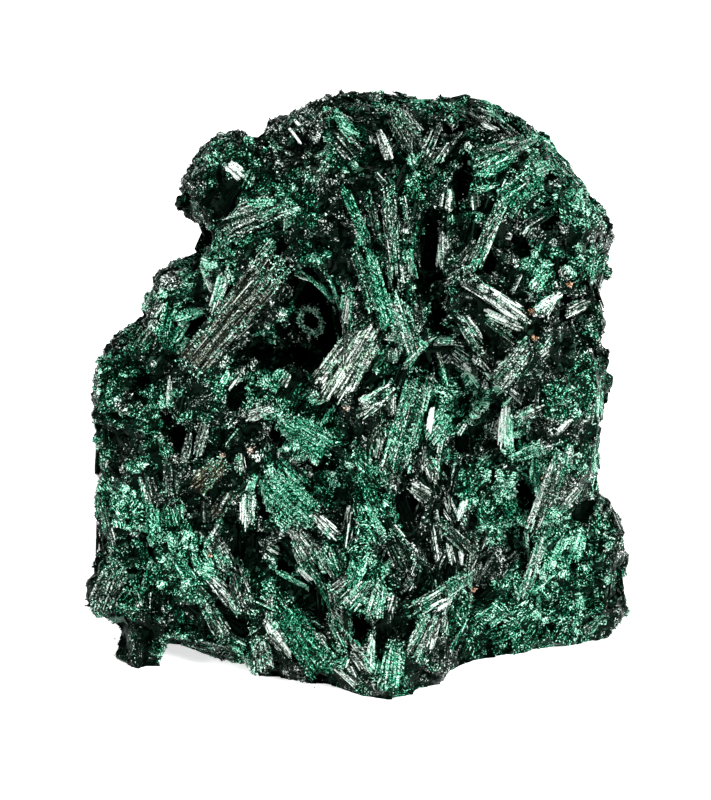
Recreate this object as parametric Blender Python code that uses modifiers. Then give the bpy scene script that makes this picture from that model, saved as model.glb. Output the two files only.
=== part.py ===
"""Brochantite specimen: one porous mass of intergrown fibrous crystal sheaves.

Metres, +Z up, origin in the middle of the flat base. The face towards -Y is the best one, and its
sheaves, hollows and outline are laid out in a view plane: u runs across and v up that plane, in
millimetres, as the eye sees them from in front and above.
"""

import math

import bmesh
import bpy
import numpy as np
from mathutils import Matrix, Vector, noise
from mathutils.bvhtree import BVHTree

MM = 0.001
NODE_NAME = "brochantite_mass"

# The view plane: how steeply the eye looks down, how far off it is, and what it aims at
VIEW_ELEVATION = math.radians(20)
VIEW_DISTANCE = 450
AIM = (-0.25, 30.0)
ORIGIN_UP_THE_PLANE = 6.2
RIGHT = Vector((1, 0, 0))
UP = Vector((0, math.sin(VIEW_ELEVATION), math.cos(VIEW_ELEVATION)))
AWAY = Vector((0, math.cos(VIEW_ELEVATION), -math.sin(VIEW_ELEVATION)))

# Outline of the specimen in the view plane, from the left foot round the crown to the right corner
OUTLINE = (
    (-24.0, -8.0), (-24.0, 7.0), (-27.0, 8.0), (-27.2, 11.3), (-25.2, 15.6), (-25.8, 19.0),
    (-26.3, 23.5), (-26.8, 27.5), (-27.0, 31.0), (-25.6, 35.2), (-22.4, 37.8), (-20.8, 40.8),
    (-18.6, 43.4), (-16.0, 44.4), (-15.4, 46.4), (-17.2, 49.0), (-17.8, 52.4), (-15.4, 55.4),
    (-12.0, 57.2), (-8.0, 57.6), (-5.0, 59.0), (-2.2, 60.2), (1.0, 60.4), (4.5, 60.8), (8.0, 60.4),
    (13.4, 59.4), (17.4, 56.2), (21.2, 52.4), (24.9, 50.0), (25.4, 46.8), (24.6, 41.0), (24.9, 36.0),
    (25.4, 31.5), (24.4, 27.6), (24.0, 23.2), (24.4, 19.6), (25.6, 16.4), (26.0, 11.0), (27.4, 8.4), (27.4, -8.0),
)
OUTLINE_REACH = 34.0
# The coat of sheaves adds this share back
OUTLINE_SHARE = 0.968

# The standing block: its footprint on the ground, its height, and how much smaller its top is
FOOTPRINT = (
    (3.0, -16.4), (6.4, -10.6), (17.0, -3.2), (26.6, 2.4), (25.0, 12.0), (11.0, 18.0), (-8.0, 17.8),
    (-20.0, 13.0), (-25.8, 4.5), (-23.0, -7.2), (-10.5, -8.8), (-5.6, -10.6),
)
BLOCK_HEIGHT = 47.0
BLOCK_BELOW_GROUND = 3.0
BLOCK_TOP_SCALE = 0.84

# Rounded masses that the block grew into: middle and half sizes
BOULDERS = {
    "crown": ((3.0, 1.0, 43.0), (22.5, 16.0, 14.6)),
    "crown_brow": ((5.0, -5.5, 47.5), (15.5, 8.0, 8.0)),
    "crown_lobe": ((-9.4, -4.5, 47.0), (9.2, 9.5, 7.6)),
    "buttress": ((2.8, -9.0, 41.0), (4.6, 6.0, 12.0)),
    "right_wall": ((18.6, 0.5, 33.0), (7.6, 13.0, 20.0)),
    "shoulder": ((-17.5, 5.5, 29.0), (9.5, 10.5, 14.5)),
    "left_bulge": ((-20.6, -0.5, 21.5), (7.4, 8.5, 13.0)),
    "left_lobe": ((-22.4, -1.6, 8.0), (5.4, 6.0, 5.6)),
    "left_foot": ((-21.2, -4.6, 3.0), (3.4, 4.2, 6.0)),
    "keel": ((2.0, -8.8, 8.5), (8.0, 6.4, 15.0)),
    "right_foot": ((22.2, 4.5, 5.4), (7.0, 8.0, 8.0)),
    "back_bulge": ((2.0, 10.5, 27.0), (17.0, 8.0, 18.0)),
}

LUMP_VOXEL = 1.0
SMOOTH_ROUNDS = 2
WEATHERING_DEPTH = 2.2
WEATHERING_SPACING = 6.0
KNOB_DEPTH = 1.0
KNOB_SPACING = 3.4

# The coat: fans of narrow blades bedded side by side all over the lump
COAT_SEED = 41
COAT_FANS = 400
FAN_BLADES = (3, 5)
FAN_LENGTH = (5.5, 11.5)
FAN_SHORTEST_SHARE = 0.7
FAN_BLADE_WIDTH = (1.1, 1.7)
FAN_SPACING_SHARE = 0.72
FAN_SPLAY = math.radians(5)
FAN_RISE = (0.2, 1.7)
# Width and rise at root, middle and tip, as shares of the blade's own
FAN_WIDTH_SHARES = (0.7, 1.0, 0.8)
FAN_RISE_SHARES = (0.3, 1.0, 0.8)
FAN_FLAT = 0.4
# A blade whose middle lies further than this from the line between its ends is left out
MOST_BEND = 2.2
# How deep every blade's underside is bedded below the surface
SINK = 1.2
COAT_VOXEL = 0.4
MASS_TRIANGLES = 4560

# Sheaves on the front: root and tip in the view plane, width at root and tip, and number of blades
FRONT_SHEAVES = {
    "left_plank": ((-7.6, 43.8), (-16.7, 32.6), 4.4, 4.8, 4),
    "left_spray": ((-12.4, 43.9), (-14.7, 38.1), 1.6, 1.2, 1),
    "lobe_sheaf": ((-6.4, 49.9), (-14.6, 46.4), 2.0, 3.0, 2),
    "crown_wedge": ((1.6, 57.8), (3.2, 53.8), 1.0, 1.6, 1),
    "crown_fan": ((2.8, 59.3), (6.4, 54.2), 1.8, 3.0, 2),
    "crown_block": ((-2.8, 57.2), (0.4, 54.0), 2.0, 2.4, 1),
    "long_sheaf": ((1.3, 52.6), (4.6, 34.8), 6.2, 3.6, 4),
    "cave_edge": ((-0.8, 43.5), (-1.3, 36.5), 1.4, 1.2, 1),
    "bright_fan": ((1.6, 37.6), (-3.6, 29.8), 3.2, 5.0, 4),
    "bright_fan_low": ((4.0, 31.2), (-0.4, 28.4), 1.4, 1.8, 1),
    "centre_sheaf": ((6.6, 33.6), (3.4, 22.4), 3.4, 4.4, 3),
    "y_sheaf": ((16.0, 53.4), (11.4, 42.6), 1.2, 1.8, 1),
    "y_tail": ((13.0, 44.6), (7.8, 41.2), 1.4, 1.2, 1),
    "upper_right_fan": ((18.2, 56.2), (11.0, 53.4), 1.8, 3.0, 2),
    "right_green_fan": ((19.0, 53.4), (14.0, 49.0), 2.0, 3.4, 2),
    "right_plank": ((11.1, 41.9), (17.4, 37.5), 2.0, 2.2, 2),
    "right_white": ((20.8, 41.0), (17.4, 38.7), 1.0, 1.2, 1),
    "right_low_grey": ((17.4, 36.4), (13.6, 31.0), 1.4, 2.8, 2),
    "right_bottom_fan": ((19.0, 29.7), (15.4, 27.8), 1.2, 1.8, 1),
    "wall_sheaf": ((20.5, 25.6), (17.0, 16.0), 1.6, 2.0, 2),
    "wall_sheaf_low": ((18.7, 17.0), (16.0, 9.0), 1.4, 1.8, 1),
    "green_flat": ((19.0, 25.8), (15.2, 24.0), 1.4, 1.8, 1),
    "cross_sheaf": ((12.4, 13.3), (4.8, 8.4), 1.6, 2.0, 2),
    "keel_right": ((7.9, 9.2), (5.0, 3.2), 2.0, 2.8, 2),
    "keel_left": ((-3.0, 8.6), (-0.8, 3.6), 1.6, 2.2, 1),
    "keel_edge": ((3.9, 6.6), (3.0, 0.4), 1.8, 2.4, 1),
    "centre_low_wedge": ((2.8, 17.4), (5.6, 12.2), 1.8, 3.0, 2),
    "low_left_plank": ((0.4, 13.2), (-3.2, 10.6), 1.4, 1.8, 1),
    "low_fan": ((1.4, 12.2), (-1.8, 8.6), 1.4, 2.6, 2),
    "rail": ((7.7, 18.1), (12.0, 14.2), 1.4, 1.6, 1),
    "block_crystal": ((-10.8, 21.2), (-11.3, 16.6), 1.8, 1.6, 1),
    "dark_wedge": ((-19.0, 24.8), (-18.5, 19.4), 1.4, 2.4, 1),
    "brown_sheaf": ((-13.0, 24.2), (-17.0, 20.6), 2.2, 2.8, 2),
    "grey_fan": ((-12.8, 14.2), (-10.8, 8.2), 1.4, 2.6, 2),
    "low_streaks": ((-15.7, 10.6), (-12.8, 5.6), 1.4, 2.2, 1),
    "left_lobe_sheaf": ((-23.4, 13.6), (-25.8, 8.4), 2.6, 3.4, 2),
    "green_shelf": ((-7.8, 27.2), (-2.4, 24.4), 2.6, 3.4, 2),
    "bottom_left_sheaf": ((-8.4, 10.4), (-3.0, 2.6), 3.4, 5.0, 3),
    "base_foot": ((-10.2, 7.0), (-9.4, 2.4), 2.0, 2.4, 1),
    "mid_green_sheaf": ((-8.6, 21.4), (-3.6, 18.0), 2.6, 3.6, 2),
}

# Hollows on the front: middle in the view plane, half sizes across, up and into the mass, and roll
FRONT_HOLLOWS = {
    "cave": ((-4.6, 38.6), 2.7, 4.8, 8.0, -22),
    "cave_floor": ((-6.2, 34.2), 1.8, 1.6, 4.5, 30),
    "slot_high": ((7.3, 44.8), 0.9, 3.2, 5.0, 6),
    "slot_low": ((7.9, 39.2), 0.8, 2.0, 4.0, 0),
    "crown_hole": ((9.4, 57.2), 1.4, 0.9, 3.0, -25),
    "crown_slot": ((10.6, 51.6), 0.6, 2.6, 3.5, 0),
    "brow_hole": ((-0.8, 58.6), 1.4, 0.7, 2.5, 0),
    "right_high_hole": ((19.0, 48.8), 0.9, 1.1, 3.5, 0),
    "right_edge_hole": ((16.4, 45.6), 1.1, 0.6, 3.0, 0),
    "right_mid_hole": ((12.9, 43.6), 0.9, 0.9, 3.5, 20),
    "ring_hole": ((21.3, 38.9), 0.8, 0.8, 3.0, 0),
    "mid_hole": ((12.5, 32.0), 0.9, 0.7, 3.0, 0),
    "centre_hole": ((5.6, 19.4), 1.0, 1.4, 4.0, 0),
    "low_hole": ((0.2, 7.2), 1.2, 1.6, 4.0, -20),
    "wall_hole": ((17.0, 21.2), 0.9, 2.4, 3.5, -8),
    "left_hole": ((-17.5, 26.0), 1.3, 1.1, 4.0, 0),
    "shelf_hole": ((-8.3, 26.2), 1.0, 1.2, 4.0, 0),
    "lobe_under_hole": ((-21.6, 32.2), 1.0, 1.4, 3.0, 0),
    "low_left_hole": ((-7.2, 13.6), 0.9, 1.1, 3.5, 0),
    "low_left_crevice": ((-12.4, 14.6), 0.5, 1.9, 3.0, -40),
}
HOLLOW_ROUGHNESS = 0.22
# How much a hollow leans from the line of sight towards the surface's own inward line
HOLLOW_LEAN = 0.5

# What the base is cut off by: all below the ground
GROUND_WIDTH = 90.0
GROUND_DEPTH = 40.0
# The arch under the left of the base, highest beside the foot and dying out towards the keel
ARCH_LEFT = -19.0
ARCH_LENGTH = 10.5
ARCH_HEIGHT = 3.4
ARCH_Y = -8.0
ARCH_DEPTH = 6.5
ARCH_SIDES = 10
ARCH_END_HEIGHT = 0.3

# Hollows that go on round the sides, back and top
BACK_HOLLOWS = 15
BACK_HOLLOW_SIZE = (0.9, 2.1)
BACK_HOLLOW_HEIGHT = (3.0, 50.0)
BACK_HOLLOW_STRETCH = (0.8, 1.8)
BACK_HOLLOW_DEPTH_SHARE = 2.4
FRONT_HALF_ANGLE = 58
AXIS_HEIGHT = 26.0
TOP_RARITY = 2.5
# How far above and below a point the surface is looked for
PROBE = 9.0

# Front sheaves: how far they stand out at root, middle and tip, and the flat share of their width
SHEAF_RISES = (0.2, 1.0, 1.2)
SHEAF_LIFT = (-0.4, 0.3)
SHEAF_WIDENING = (1.0, 1.25)
SHEAF_FLAT = 0.78
STAGGER = 0.16
# A sheaf stays straight over a bulge and a dip of these heights, and bends over larger ones
BULGE = -0.5
SPANNED = 1.6


def to_metres(point):
    return Vector(point) * MM


def plane_point(u, v):
    """The point of the view plane at u across and v up, in millimetres."""
    return RIGHT * u + UP * (v - ORIGIN_UP_THE_PLANE)


EYE = plane_point(*AIM) - AWAY * VIEW_DISTANCE


def remove_startup_objects():
    for obj in list(bpy.data.objects):
        bpy.data.objects.remove(obj, do_unlink=True)


def new_collection(name):
    collection = bpy.data.collections.new(name)
    bpy.context.scene.collection.children.link(collection)
    return collection


def object_from_bmesh(bm, name, collection):
    mesh = bpy.data.meshes.new(name)
    bm.to_mesh(mesh)
    bm.free()
    obj = bpy.data.objects.new(name, mesh)
    collection.objects.link(obj)
    return obj


def baked(obj, name, collection):
    """A new object with the mesh that obj's modifiers make. obj is removed."""
    bpy.context.view_layer.update()
    graph = bpy.context.evaluated_depsgraph_get()
    mesh = bpy.data.meshes.new_from_object(obj.evaluated_get(graph))
    mesh.transform(obj.matrix_world)
    made = bpy.data.objects.new(name, mesh)
    collection.objects.link(made)
    bpy.data.objects.remove(obj, do_unlink=True)
    return made


def add_boolean(obj, other, operation):
    modifier = obj.modifiers.new(operation.title(), "BOOLEAN")
    modifier.operation = operation
    modifier.object = other
    modifier.use_self = operation != "INTERSECT"


def make_helper(obj):
    obj.hide_render = True
    obj.display_type = "WIRE"
    return obj


def make_block(bm):
    """The standing block, drawn up from its footprint and narrowed towards its top."""
    ring = [bm.verts.new(to_metres((x, y, -BLOCK_BELOW_GROUND))) for x, y in FOOTPRINT]
    base = bm.faces.new(ring)
    raised = bmesh.ops.extrude_face_region(bm, geom=[base])["geom"]
    for vertex in raised:
        if isinstance(vertex, bmesh.types.BMVert):
            vertex.co.x *= BLOCK_TOP_SCALE
            vertex.co.y *= BLOCK_TOP_SCALE
            vertex.co.z = BLOCK_HEIGHT * MM


def make_boulders(bm):
    for middle, half_sizes in BOULDERS.values():
        place = Matrix.LocRotScale(to_metres(middle), None, to_metres(half_sizes))
        bmesh.ops.create_icosphere(bm, subdivisions=3, radius=1.0, matrix=place)


def make_outline_cutter(helpers):
    """The outline as a solid that widens away from the eye, so that it trims what the eye sees."""
    curve = bpy.data.curves.new("outline", "CURVE")
    curve.dimensions = "2D"
    curve.fill_mode = "BOTH"
    curve.extrude = OUTLINE_REACH * MM
    spline = curve.splines.new("POLY")
    spline.points.add(len(OUTLINE) - 1)
    for point, (u, v) in zip(spline.points, OUTLINE):
        across, up = (u - AIM[0]) * OUTLINE_SHARE, (v - AIM[1]) * OUTLINE_SHARE
        point.co = (across * MM, up * MM, 0, 1)
    spline.use_cyclic_u = True
    drawn = bpy.data.objects.new("outline", curve)
    helpers.objects.link(drawn)
    cutter = baked(drawn, "outline_cutter", helpers)
    for vertex in cutter.data.vertices:
        towards_eye = vertex.co.z
        spread = 1 - towards_eye / (VIEW_DISTANCE * MM)
        vertex.co.x *= spread
        vertex.co.y *= spread
    weld_and_face_out(cutter.data)
    facing = Matrix((RIGHT, UP, -AWAY)).transposed().to_4x4()
    cutter.matrix_world = Matrix.Translation(plane_point(*AIM) * MM) @ facing
    return make_helper(cutter)


def weld_and_face_out(mesh):
    bm = bmesh.new()
    bm.from_mesh(mesh)
    bmesh.ops.remove_doubles(bm, verts=bm.verts, dist=0.01 * MM)
    bmesh.ops.recalc_face_normals(bm, faces=bm.faces)
    bm.to_mesh(mesh)
    bm.free()


def weather(mesh):
    """Pushes the surface in and out by broad hollows and close knobs, as crusted crystal grows."""
    normals = [vertex.normal.copy() for vertex in mesh.vertices]
    for vertex, normal in zip(mesh.vertices, normals):
        place = vertex.co / MM
        broad = noise.noise(place / WEATHERING_SPACING)
        knobs = 0.5 - noise.voronoi(place / KNOB_SPACING)[0][0]
        vertex.co += normal * (broad * WEATHERING_DEPTH + knobs * KNOB_DEPTH) * MM


def make_lump(parts, helpers):
    """Block and boulders fused into one rounded lump, trimmed to the outline and weathered."""
    bm = bmesh.new()
    make_block(bm)
    make_boulders(bm)
    bmesh.ops.recalc_face_normals(bm, faces=bm.faces)
    rough = object_from_bmesh(bm, "rough", parts)
    add_remesh(rough, LUMP_VOXEL)
    add_boolean(rough, make_outline_cutter(helpers), "INTERSECT")
    add_remesh(rough, LUMP_VOXEL)
    soften = rough.modifiers.new("Soften", "SMOOTH")
    soften.iterations = SMOOTH_ROUNDS
    lump = baked(rough, "lump", parts)
    weather(lump.data)
    return lump


def add_remesh(obj, voxel):
    fuse = obj.modifiers.new("Fuse", "REMESH")
    fuse.mode = "VOXEL"
    fuse.voxel_size = voxel * MM


def add_strip(bm, places, across, outward, widths, rises, flat):
    """A closed blade bedded in the surface through each place, flat over a share of its width."""
    rings = []
    for place, width, rise in zip(places, widths, rises):
        bed = place - outward * SINK * MM
        top = place + outward * rise * MM
        side = across * width * MM / 2
        corners = (bed - side, top - side * flat, top + side * flat, bed + side)
        rings.append([bm.verts.new(corner) for corner in corners])
    for ring, following in zip(rings, rings[1:]):
        for k in range(4):
            bm.faces.new((ring[k], ring[k - 1], following[k - 1], following[k]))
    bm.faces.new(rings[0])
    bm.faces.new(reversed(rings[-1]))


def add_fan(bm, tree, middle, outward, random):
    """Blades side by side that splay from one end and follow the surface."""
    heading = Vector(random.normal(size=3))
    along = (heading - outward * heading.dot(outward)).normalized()
    across = along.cross(outward)
    length = random.uniform(*FAN_LENGTH) * MM
    width = random.uniform(*FAN_BLADE_WIDTH)
    blades = int(random.integers(FAN_BLADES[0], FAN_BLADES[1] + 1))
    for k in range(blades):
        step = k - (blades - 1) / 2
        aim = Matrix.Rotation(-step * FAN_SPLAY, 3, outward) @ along
        root = middle - along * length / 2 + across * step * width * FAN_SPACING_SHARE * MM
        reach = length * random.uniform(FAN_SHORTEST_SHARE, 1.0)
        ends = [root + aim * reach * share for share in (0, 0.5, 1)]
        places = [settled(tree, end, outward) for end in ends]
        rise = random.uniform(*FAN_RISE)
        if None in places:
            continue
        bend = ((places[0] + places[2]) / 2 - places[1]).length
        if bend > MOST_BEND * MM:
            continue
        side = aim.cross(outward)
        widths = [width * share for share in FAN_WIDTH_SHARES]
        rises = [rise * share for share in FAN_RISE_SHARES]
        add_strip(bm, places, side, outward, widths, rises, FAN_FLAT)


def add_coat(bm, tree, lump):
    """Fans all over the lump, spread evenly by area, each from its own seed."""
    faces = lump.data.polygons
    areas = np.array([face.area for face in faces])
    picked = np.random.default_rng(COAT_SEED).choice(len(faces), COAT_FANS, p=areas / areas.sum())
    for k, index in enumerate(picked):
        face = faces[int(index)]
        normals = [lump.data.vertices[v].normal for v in face.vertices]
        outward = sum(normals, Vector()).normalized()
        add_fan(bm, tree, face.center.copy(), outward, np.random.default_rng((COAT_SEED, k)))


def make_mass(parts, lump):
    """The lump with its coat, fused and thinned to the faces that carry its shape."""
    bm = bmesh.new()
    bm.from_mesh(lump.data)
    add_coat(bm, surface_tree(lump), lump)
    bmesh.ops.recalc_face_normals(bm, faces=bm.faces)
    coated = object_from_bmesh(bm, "coated", parts)
    bpy.data.objects.remove(lump, do_unlink=True)
    add_remesh(coated, COAT_VOXEL)
    mass = baked(coated, "mass", parts)
    thin = mass.modifiers.new("Thin", "DECIMATE")
    thin.ratio = MASS_TRIANGLES / (2 * len(mass.data.polygons))
    return baked(mass, "mass", parts)


def surface_tree(obj):
    bm = bmesh.new()
    bm.from_mesh(obj.data)
    tree = BVHTree.FromBMesh(bm)
    bm.free()
    return tree


def seen_at(tree, u, v):
    """Where the eye's line through u, v meets the mass, and the surface's normal there."""
    line = (plane_point(u, v) - EYE).normalized()
    place, normal, _, _ = tree.ray_cast(EYE * MM, line)
    return place, normal


def settled(tree, point, outward):
    """The surface under or over a point, looking back along outward, or None."""
    place, _, _, _ = tree.ray_cast(point + outward * PROBE * MM, -outward, 2 * PROBE * MM)
    return place


def add_sheaf(bm, tree, root_uv, tip_uv, root_width, tip_width, blades, random):
    """Blades side by side, drawn in the view plane and laid on the surface where the eye sees them."""
    root, tip = Vector(root_uv), Vector(tip_uv)
    along = tip - root
    aside = Vector((along.y, -along.x)).normalized()
    for k in range(blades):
        share = (k + 0.5) / blades - 0.5
        start = root + aside * share * root_width + along * STAGGER * random.uniform(-0.4, 0.6)
        end = tip + aside * share * tip_width - along * STAGGER * random.uniform(0, 1)
        seen = [seen_at(tree, *start.lerp(end, part)) for part in (0, 0.5, 1)]
        places = [place for place, _ in seen]
        if None in places:
            continue
        outward = (sum((normal for _, normal in seen), Vector()) - AWAY).normalized()
        lift = random.uniform(*SHEAF_LIFT)
        rises = [rise + lift for rise in SHEAF_RISES]
        slim = random.uniform(*SHEAF_WIDENING) / blades
        widths = [slim * width for width in (root_width, (root_width + tip_width) / 2, tip_width)]
        dip = ((places[0] + places[2]) / 2 - places[1]).dot(outward)
        if BULGE * MM < dip < SPANNED * MM:
            places, rises, widths = places[::2], rises[::2], widths[::2]
        across = (places[-1] - places[0]).cross(outward).normalized()
        add_strip(bm, places, across, outward, widths, rises, SHEAF_FLAT)


def add_front_sheaves(bm, tree):
    random = np.random.default_rng(COAT_SEED)
    for root_uv, tip_uv, root_width, tip_width, blades in FRONT_SHEAVES.values():
        add_sheaf(bm, tree, root_uv, tip_uv, root_width, tip_width, blades, random)
    bmesh.ops.recalc_face_normals(bm, faces=bm.faces)


def back_place(tree, random):
    """A place on the sides, back or top, where a line aimed at the standing axis comes in."""
    turn = math.radians(random.uniform(FRONT_HALF_ANGLE, 360 - FRONT_HALF_ANGLE))
    steep = random.uniform(0, 1) ** TOP_RARITY
    height = random.uniform(*BACK_HOLLOW_HEIGHT)
    target = to_metres((0, 0, height * (1 - steep) + AXIS_HEIGHT * steep))
    level = Vector((math.sin(turn), -math.cos(turn), 0))
    line = (level * (1 - steep) + Vector((0, 0, 1)) * steep).normalized()
    place, normal, _, _ = tree.ray_cast(target + line * 100 * MM, -line)
    return place, normal


def add_hollow(bm, place, into, upward, half_across, half_up, depth, random):
    """A rough egg-shaped cutter that reaches depth into the mass."""
    across = upward.cross(into).normalized()
    turn = Matrix((across, into.cross(across).normalized(), into)).transposed().to_4x4()
    size = Matrix.Diagonal((half_across, half_up, depth, 1.0))
    made = bmesh.ops.create_icosphere(
        bm, subdivisions=1, radius=1.0, matrix=Matrix.Translation(place) @ turn @ size
    )
    for vertex in made["verts"]:
        vertex.co += (vertex.co - place) * random.uniform(-1, 1) * HOLLOW_ROUGHNESS


def make_hollow_cutter(tree, helpers):
    random = np.random.default_rng(COAT_SEED)
    bm = bmesh.new()
    for (u, v), half_across, half_up, depth, roll in FRONT_HOLLOWS.values():
        place, normal = seen_at(tree, u, v)
        into = (AWAY - normal * HOLLOW_LEAN).normalized()
        upward = Matrix.Rotation(math.radians(roll), 3, AWAY) @ UP
        add_hollow(bm, place, into, upward, half_across * MM, half_up * MM, depth * MM, random)
    for _ in range(BACK_HOLLOWS):
        place, normal = back_place(tree, random)
        size = random.uniform(*BACK_HOLLOW_SIZE) * MM
        upward = Vector(random.normal(size=3)).normalized()
        half_up = size * random.uniform(*BACK_HOLLOW_STRETCH)
        add_hollow(bm, place, -normal, upward, size, half_up, size * BACK_HOLLOW_DEPTH_SHARE, random)
    return make_helper(object_from_bmesh(bm, "hollow_cutter", helpers))


def make_base_cutter(helpers):
    """All below the ground, with the arch that leaves the left foot standing by itself."""
    bm = bmesh.new()
    below = Matrix.LocRotScale(
        to_metres((0, 0, -GROUND_DEPTH / 2)), None, to_metres((GROUND_WIDTH, GROUND_WIDTH, GROUND_DEPTH))
    )
    bmesh.ops.create_cube(bm, size=1.0, matrix=below)
    middle = to_metres((ARCH_LEFT + ARCH_LENGTH / 2, ARCH_Y, 0))
    lie_along_x = Matrix.Rotation(math.pi / 2, 4, "Y")
    widen = Matrix.Diagonal((1.0, ARCH_DEPTH / ARCH_HEIGHT, 1.0, 1.0))
    bmesh.ops.create_cone(
        bm,
        cap_ends=True,
        segments=ARCH_SIDES,
        radius1=ARCH_HEIGHT * MM,
        radius2=ARCH_END_HEIGHT * MM,
        depth=ARCH_LENGTH * MM,
        matrix=Matrix.Translation(middle) @ lie_along_x @ widen,
    )
    return make_helper(object_from_bmesh(bm, "base_cutter", helpers))


def keep_largest_body(mesh):
    """Drops what a cut left loose, and the walls of any hollow that blades sealed."""
    bm = bmesh.new()
    bm.from_mesh(mesh)
    left = set(bm.verts)
    bodies = []
    while left:
        body, edge = set(), [left.pop()]
        while edge:
            vertex = edge.pop()
            body.add(vertex)
            near = {link.other_vert(vertex) for link in vertex.link_edges} & left
            left -= near
            edge.extend(near)
        bodies.append(body)
    bodies.sort(key=len)
    loose = [vertex for body in bodies[:-1] for vertex in body]
    bmesh.ops.delete(bm, geom=loose, context="VERTS")
    bm.to_mesh(mesh)
    bm.free()


def crystal_material():
    material = bpy.data.materials.new("brochantite")
    material.use_nodes = True
    shader = material.node_tree.nodes["Principled BSDF"]
    shader.inputs["Base Color"].default_value = (0.012, 0.09, 0.055, 1)
    shader.inputs["Roughness"].default_value = 0.34
    shader.inputs["Metallic"].default_value = 0.0
    material.diffuse_color = (0.012, 0.09, 0.055, 1)
    return material


def make_specimen():
    remove_startup_objects()
    parts = new_collection("brochantite_specimen")
    helpers = new_collection("cutters")
    mass = make_mass(parts, make_lump(parts, helpers))
    tree = surface_tree(mass)
    bm = bmesh.new()
    add_front_sheaves(bm, tree)
    sheaves = make_helper(object_from_bmesh(bm, "sheaves", helpers))
    hollows = make_hollow_cutter(tree, helpers)
    add_boolean(mass, sheaves, "UNION")
    add_boolean(mass, hollows, "DIFFERENCE")
    add_boolean(mass, make_base_cutter(helpers), "DIFFERENCE")
    specimen = baked(mass, NODE_NAME, parts)
    keep_largest_body(specimen.data)
    specimen.data.materials.clear()
    specimen.data.materials.append(crystal_material())
    return specimen


make_specimen()
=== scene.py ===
# %% [markdown]
# # A brochantite specimen
#
# Brochantite is a copper mineral. It grows as sheaves: bundles of hair-thin crystals that lie side
# by side, snap off in splinters, and carry a sugary emerald crust of younger, smaller crystals.
# This specimen is one standing mass of such sheaves, about 55 mm wide and 57 mm high, with black
# pits between them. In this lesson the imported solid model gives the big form, and everything finer
# than about a millimetre is built on top of it, in the same frame and in metres.

import math

import bmesh
import bpy
import numpy as np
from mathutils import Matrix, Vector
from mathutils.bvhtree import BVHTree


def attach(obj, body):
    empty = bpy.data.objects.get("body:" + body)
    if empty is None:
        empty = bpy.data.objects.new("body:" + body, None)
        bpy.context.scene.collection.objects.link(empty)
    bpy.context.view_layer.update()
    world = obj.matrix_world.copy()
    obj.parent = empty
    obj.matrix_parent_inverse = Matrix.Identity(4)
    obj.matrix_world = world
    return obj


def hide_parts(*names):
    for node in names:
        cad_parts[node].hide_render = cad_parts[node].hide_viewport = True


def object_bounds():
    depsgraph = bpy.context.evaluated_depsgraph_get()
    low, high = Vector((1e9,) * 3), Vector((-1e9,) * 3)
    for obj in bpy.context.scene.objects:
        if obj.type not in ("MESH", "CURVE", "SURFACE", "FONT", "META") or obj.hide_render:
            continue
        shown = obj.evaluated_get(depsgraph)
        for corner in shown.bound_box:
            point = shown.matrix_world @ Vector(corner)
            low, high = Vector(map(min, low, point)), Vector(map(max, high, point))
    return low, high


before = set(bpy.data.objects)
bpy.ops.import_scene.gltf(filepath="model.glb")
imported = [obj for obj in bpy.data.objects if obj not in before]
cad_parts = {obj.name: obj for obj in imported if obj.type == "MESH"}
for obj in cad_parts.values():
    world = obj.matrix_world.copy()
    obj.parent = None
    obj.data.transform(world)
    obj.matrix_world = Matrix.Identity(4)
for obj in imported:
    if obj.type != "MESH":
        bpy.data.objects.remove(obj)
cad_low, cad_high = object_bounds()
MM = 0.001
NODE = "brochantite_mass"
print("solid model, mm:", [round(side / MM, 1) for side in cad_high - cad_low])

# %% [markdown]
# ## The eye and its plane
#
# The specimen is seen from a little above. It helps to lay things out the way they are seen: a
# plane through the origin, square to the line of sight, with u across and v up in millimetres.
# A point of that plane and the eye give a line, and the line meets the stone where a crystal
# belongs. The camera could be placed by trial, but then this plane and the picture would drift
# apart, so the camera is made from the same few numbers.

# %% Camera
VIEW_ELEVATION = math.radians(20)
VIEW_DISTANCE = 450 * MM
# What the eye aims at in the plane, in millimetres, and how far up the plane the origin lies.
AIM = (-0.25, 30.0)
ORIGIN_UP_THE_PLANE = 6.2
PICTURE_HEIGHT = 80 * MM
SENSOR = 36.0

RIGHT = np.array((1, 0, 0))
UP = np.array((0, math.sin(VIEW_ELEVATION), math.cos(VIEW_ELEVATION)))
AWAY = np.array((0, math.cos(VIEW_ELEVATION), -math.sin(VIEW_ELEVATION)))


def unit(vectors):
    """The same directions with a length of one."""
    length = np.linalg.norm(vectors, axis=-1, keepdims=True)
    return vectors / np.maximum(length, 1e-12)


def plane_point(uv):
    """Points of the view plane, in metres, for one or many (u, v) in millimetres."""
    uv = np.asarray(uv, float)
    return (uv[..., :1] * RIGHT + (uv[..., 1:] - ORIGIN_UP_THE_PLANE) * UP) * MM


EYE = plane_point(AIM) - AWAY * VIEW_DISTANCE


def seen_uv(points):
    """Where points show in the view plane, in millimetres."""
    away = points - EYE
    scale = VIEW_DISTANCE / (away @ AWAY) / MM
    return np.stack([away @ RIGHT * scale + AIM[0], away @ UP * scale + AIM[1]], axis=1)


FACING_MIDDLE = 0.5
FACING_GAIN = 2


def facing(points, outward):
    """1 where the surface turns its face to the eye, 0 where it turns away."""
    return np.clip(FACING_MIDDLE - (outward * unit(points - EYE)).sum(1) * FACING_GAIN, 0, 1)


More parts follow.
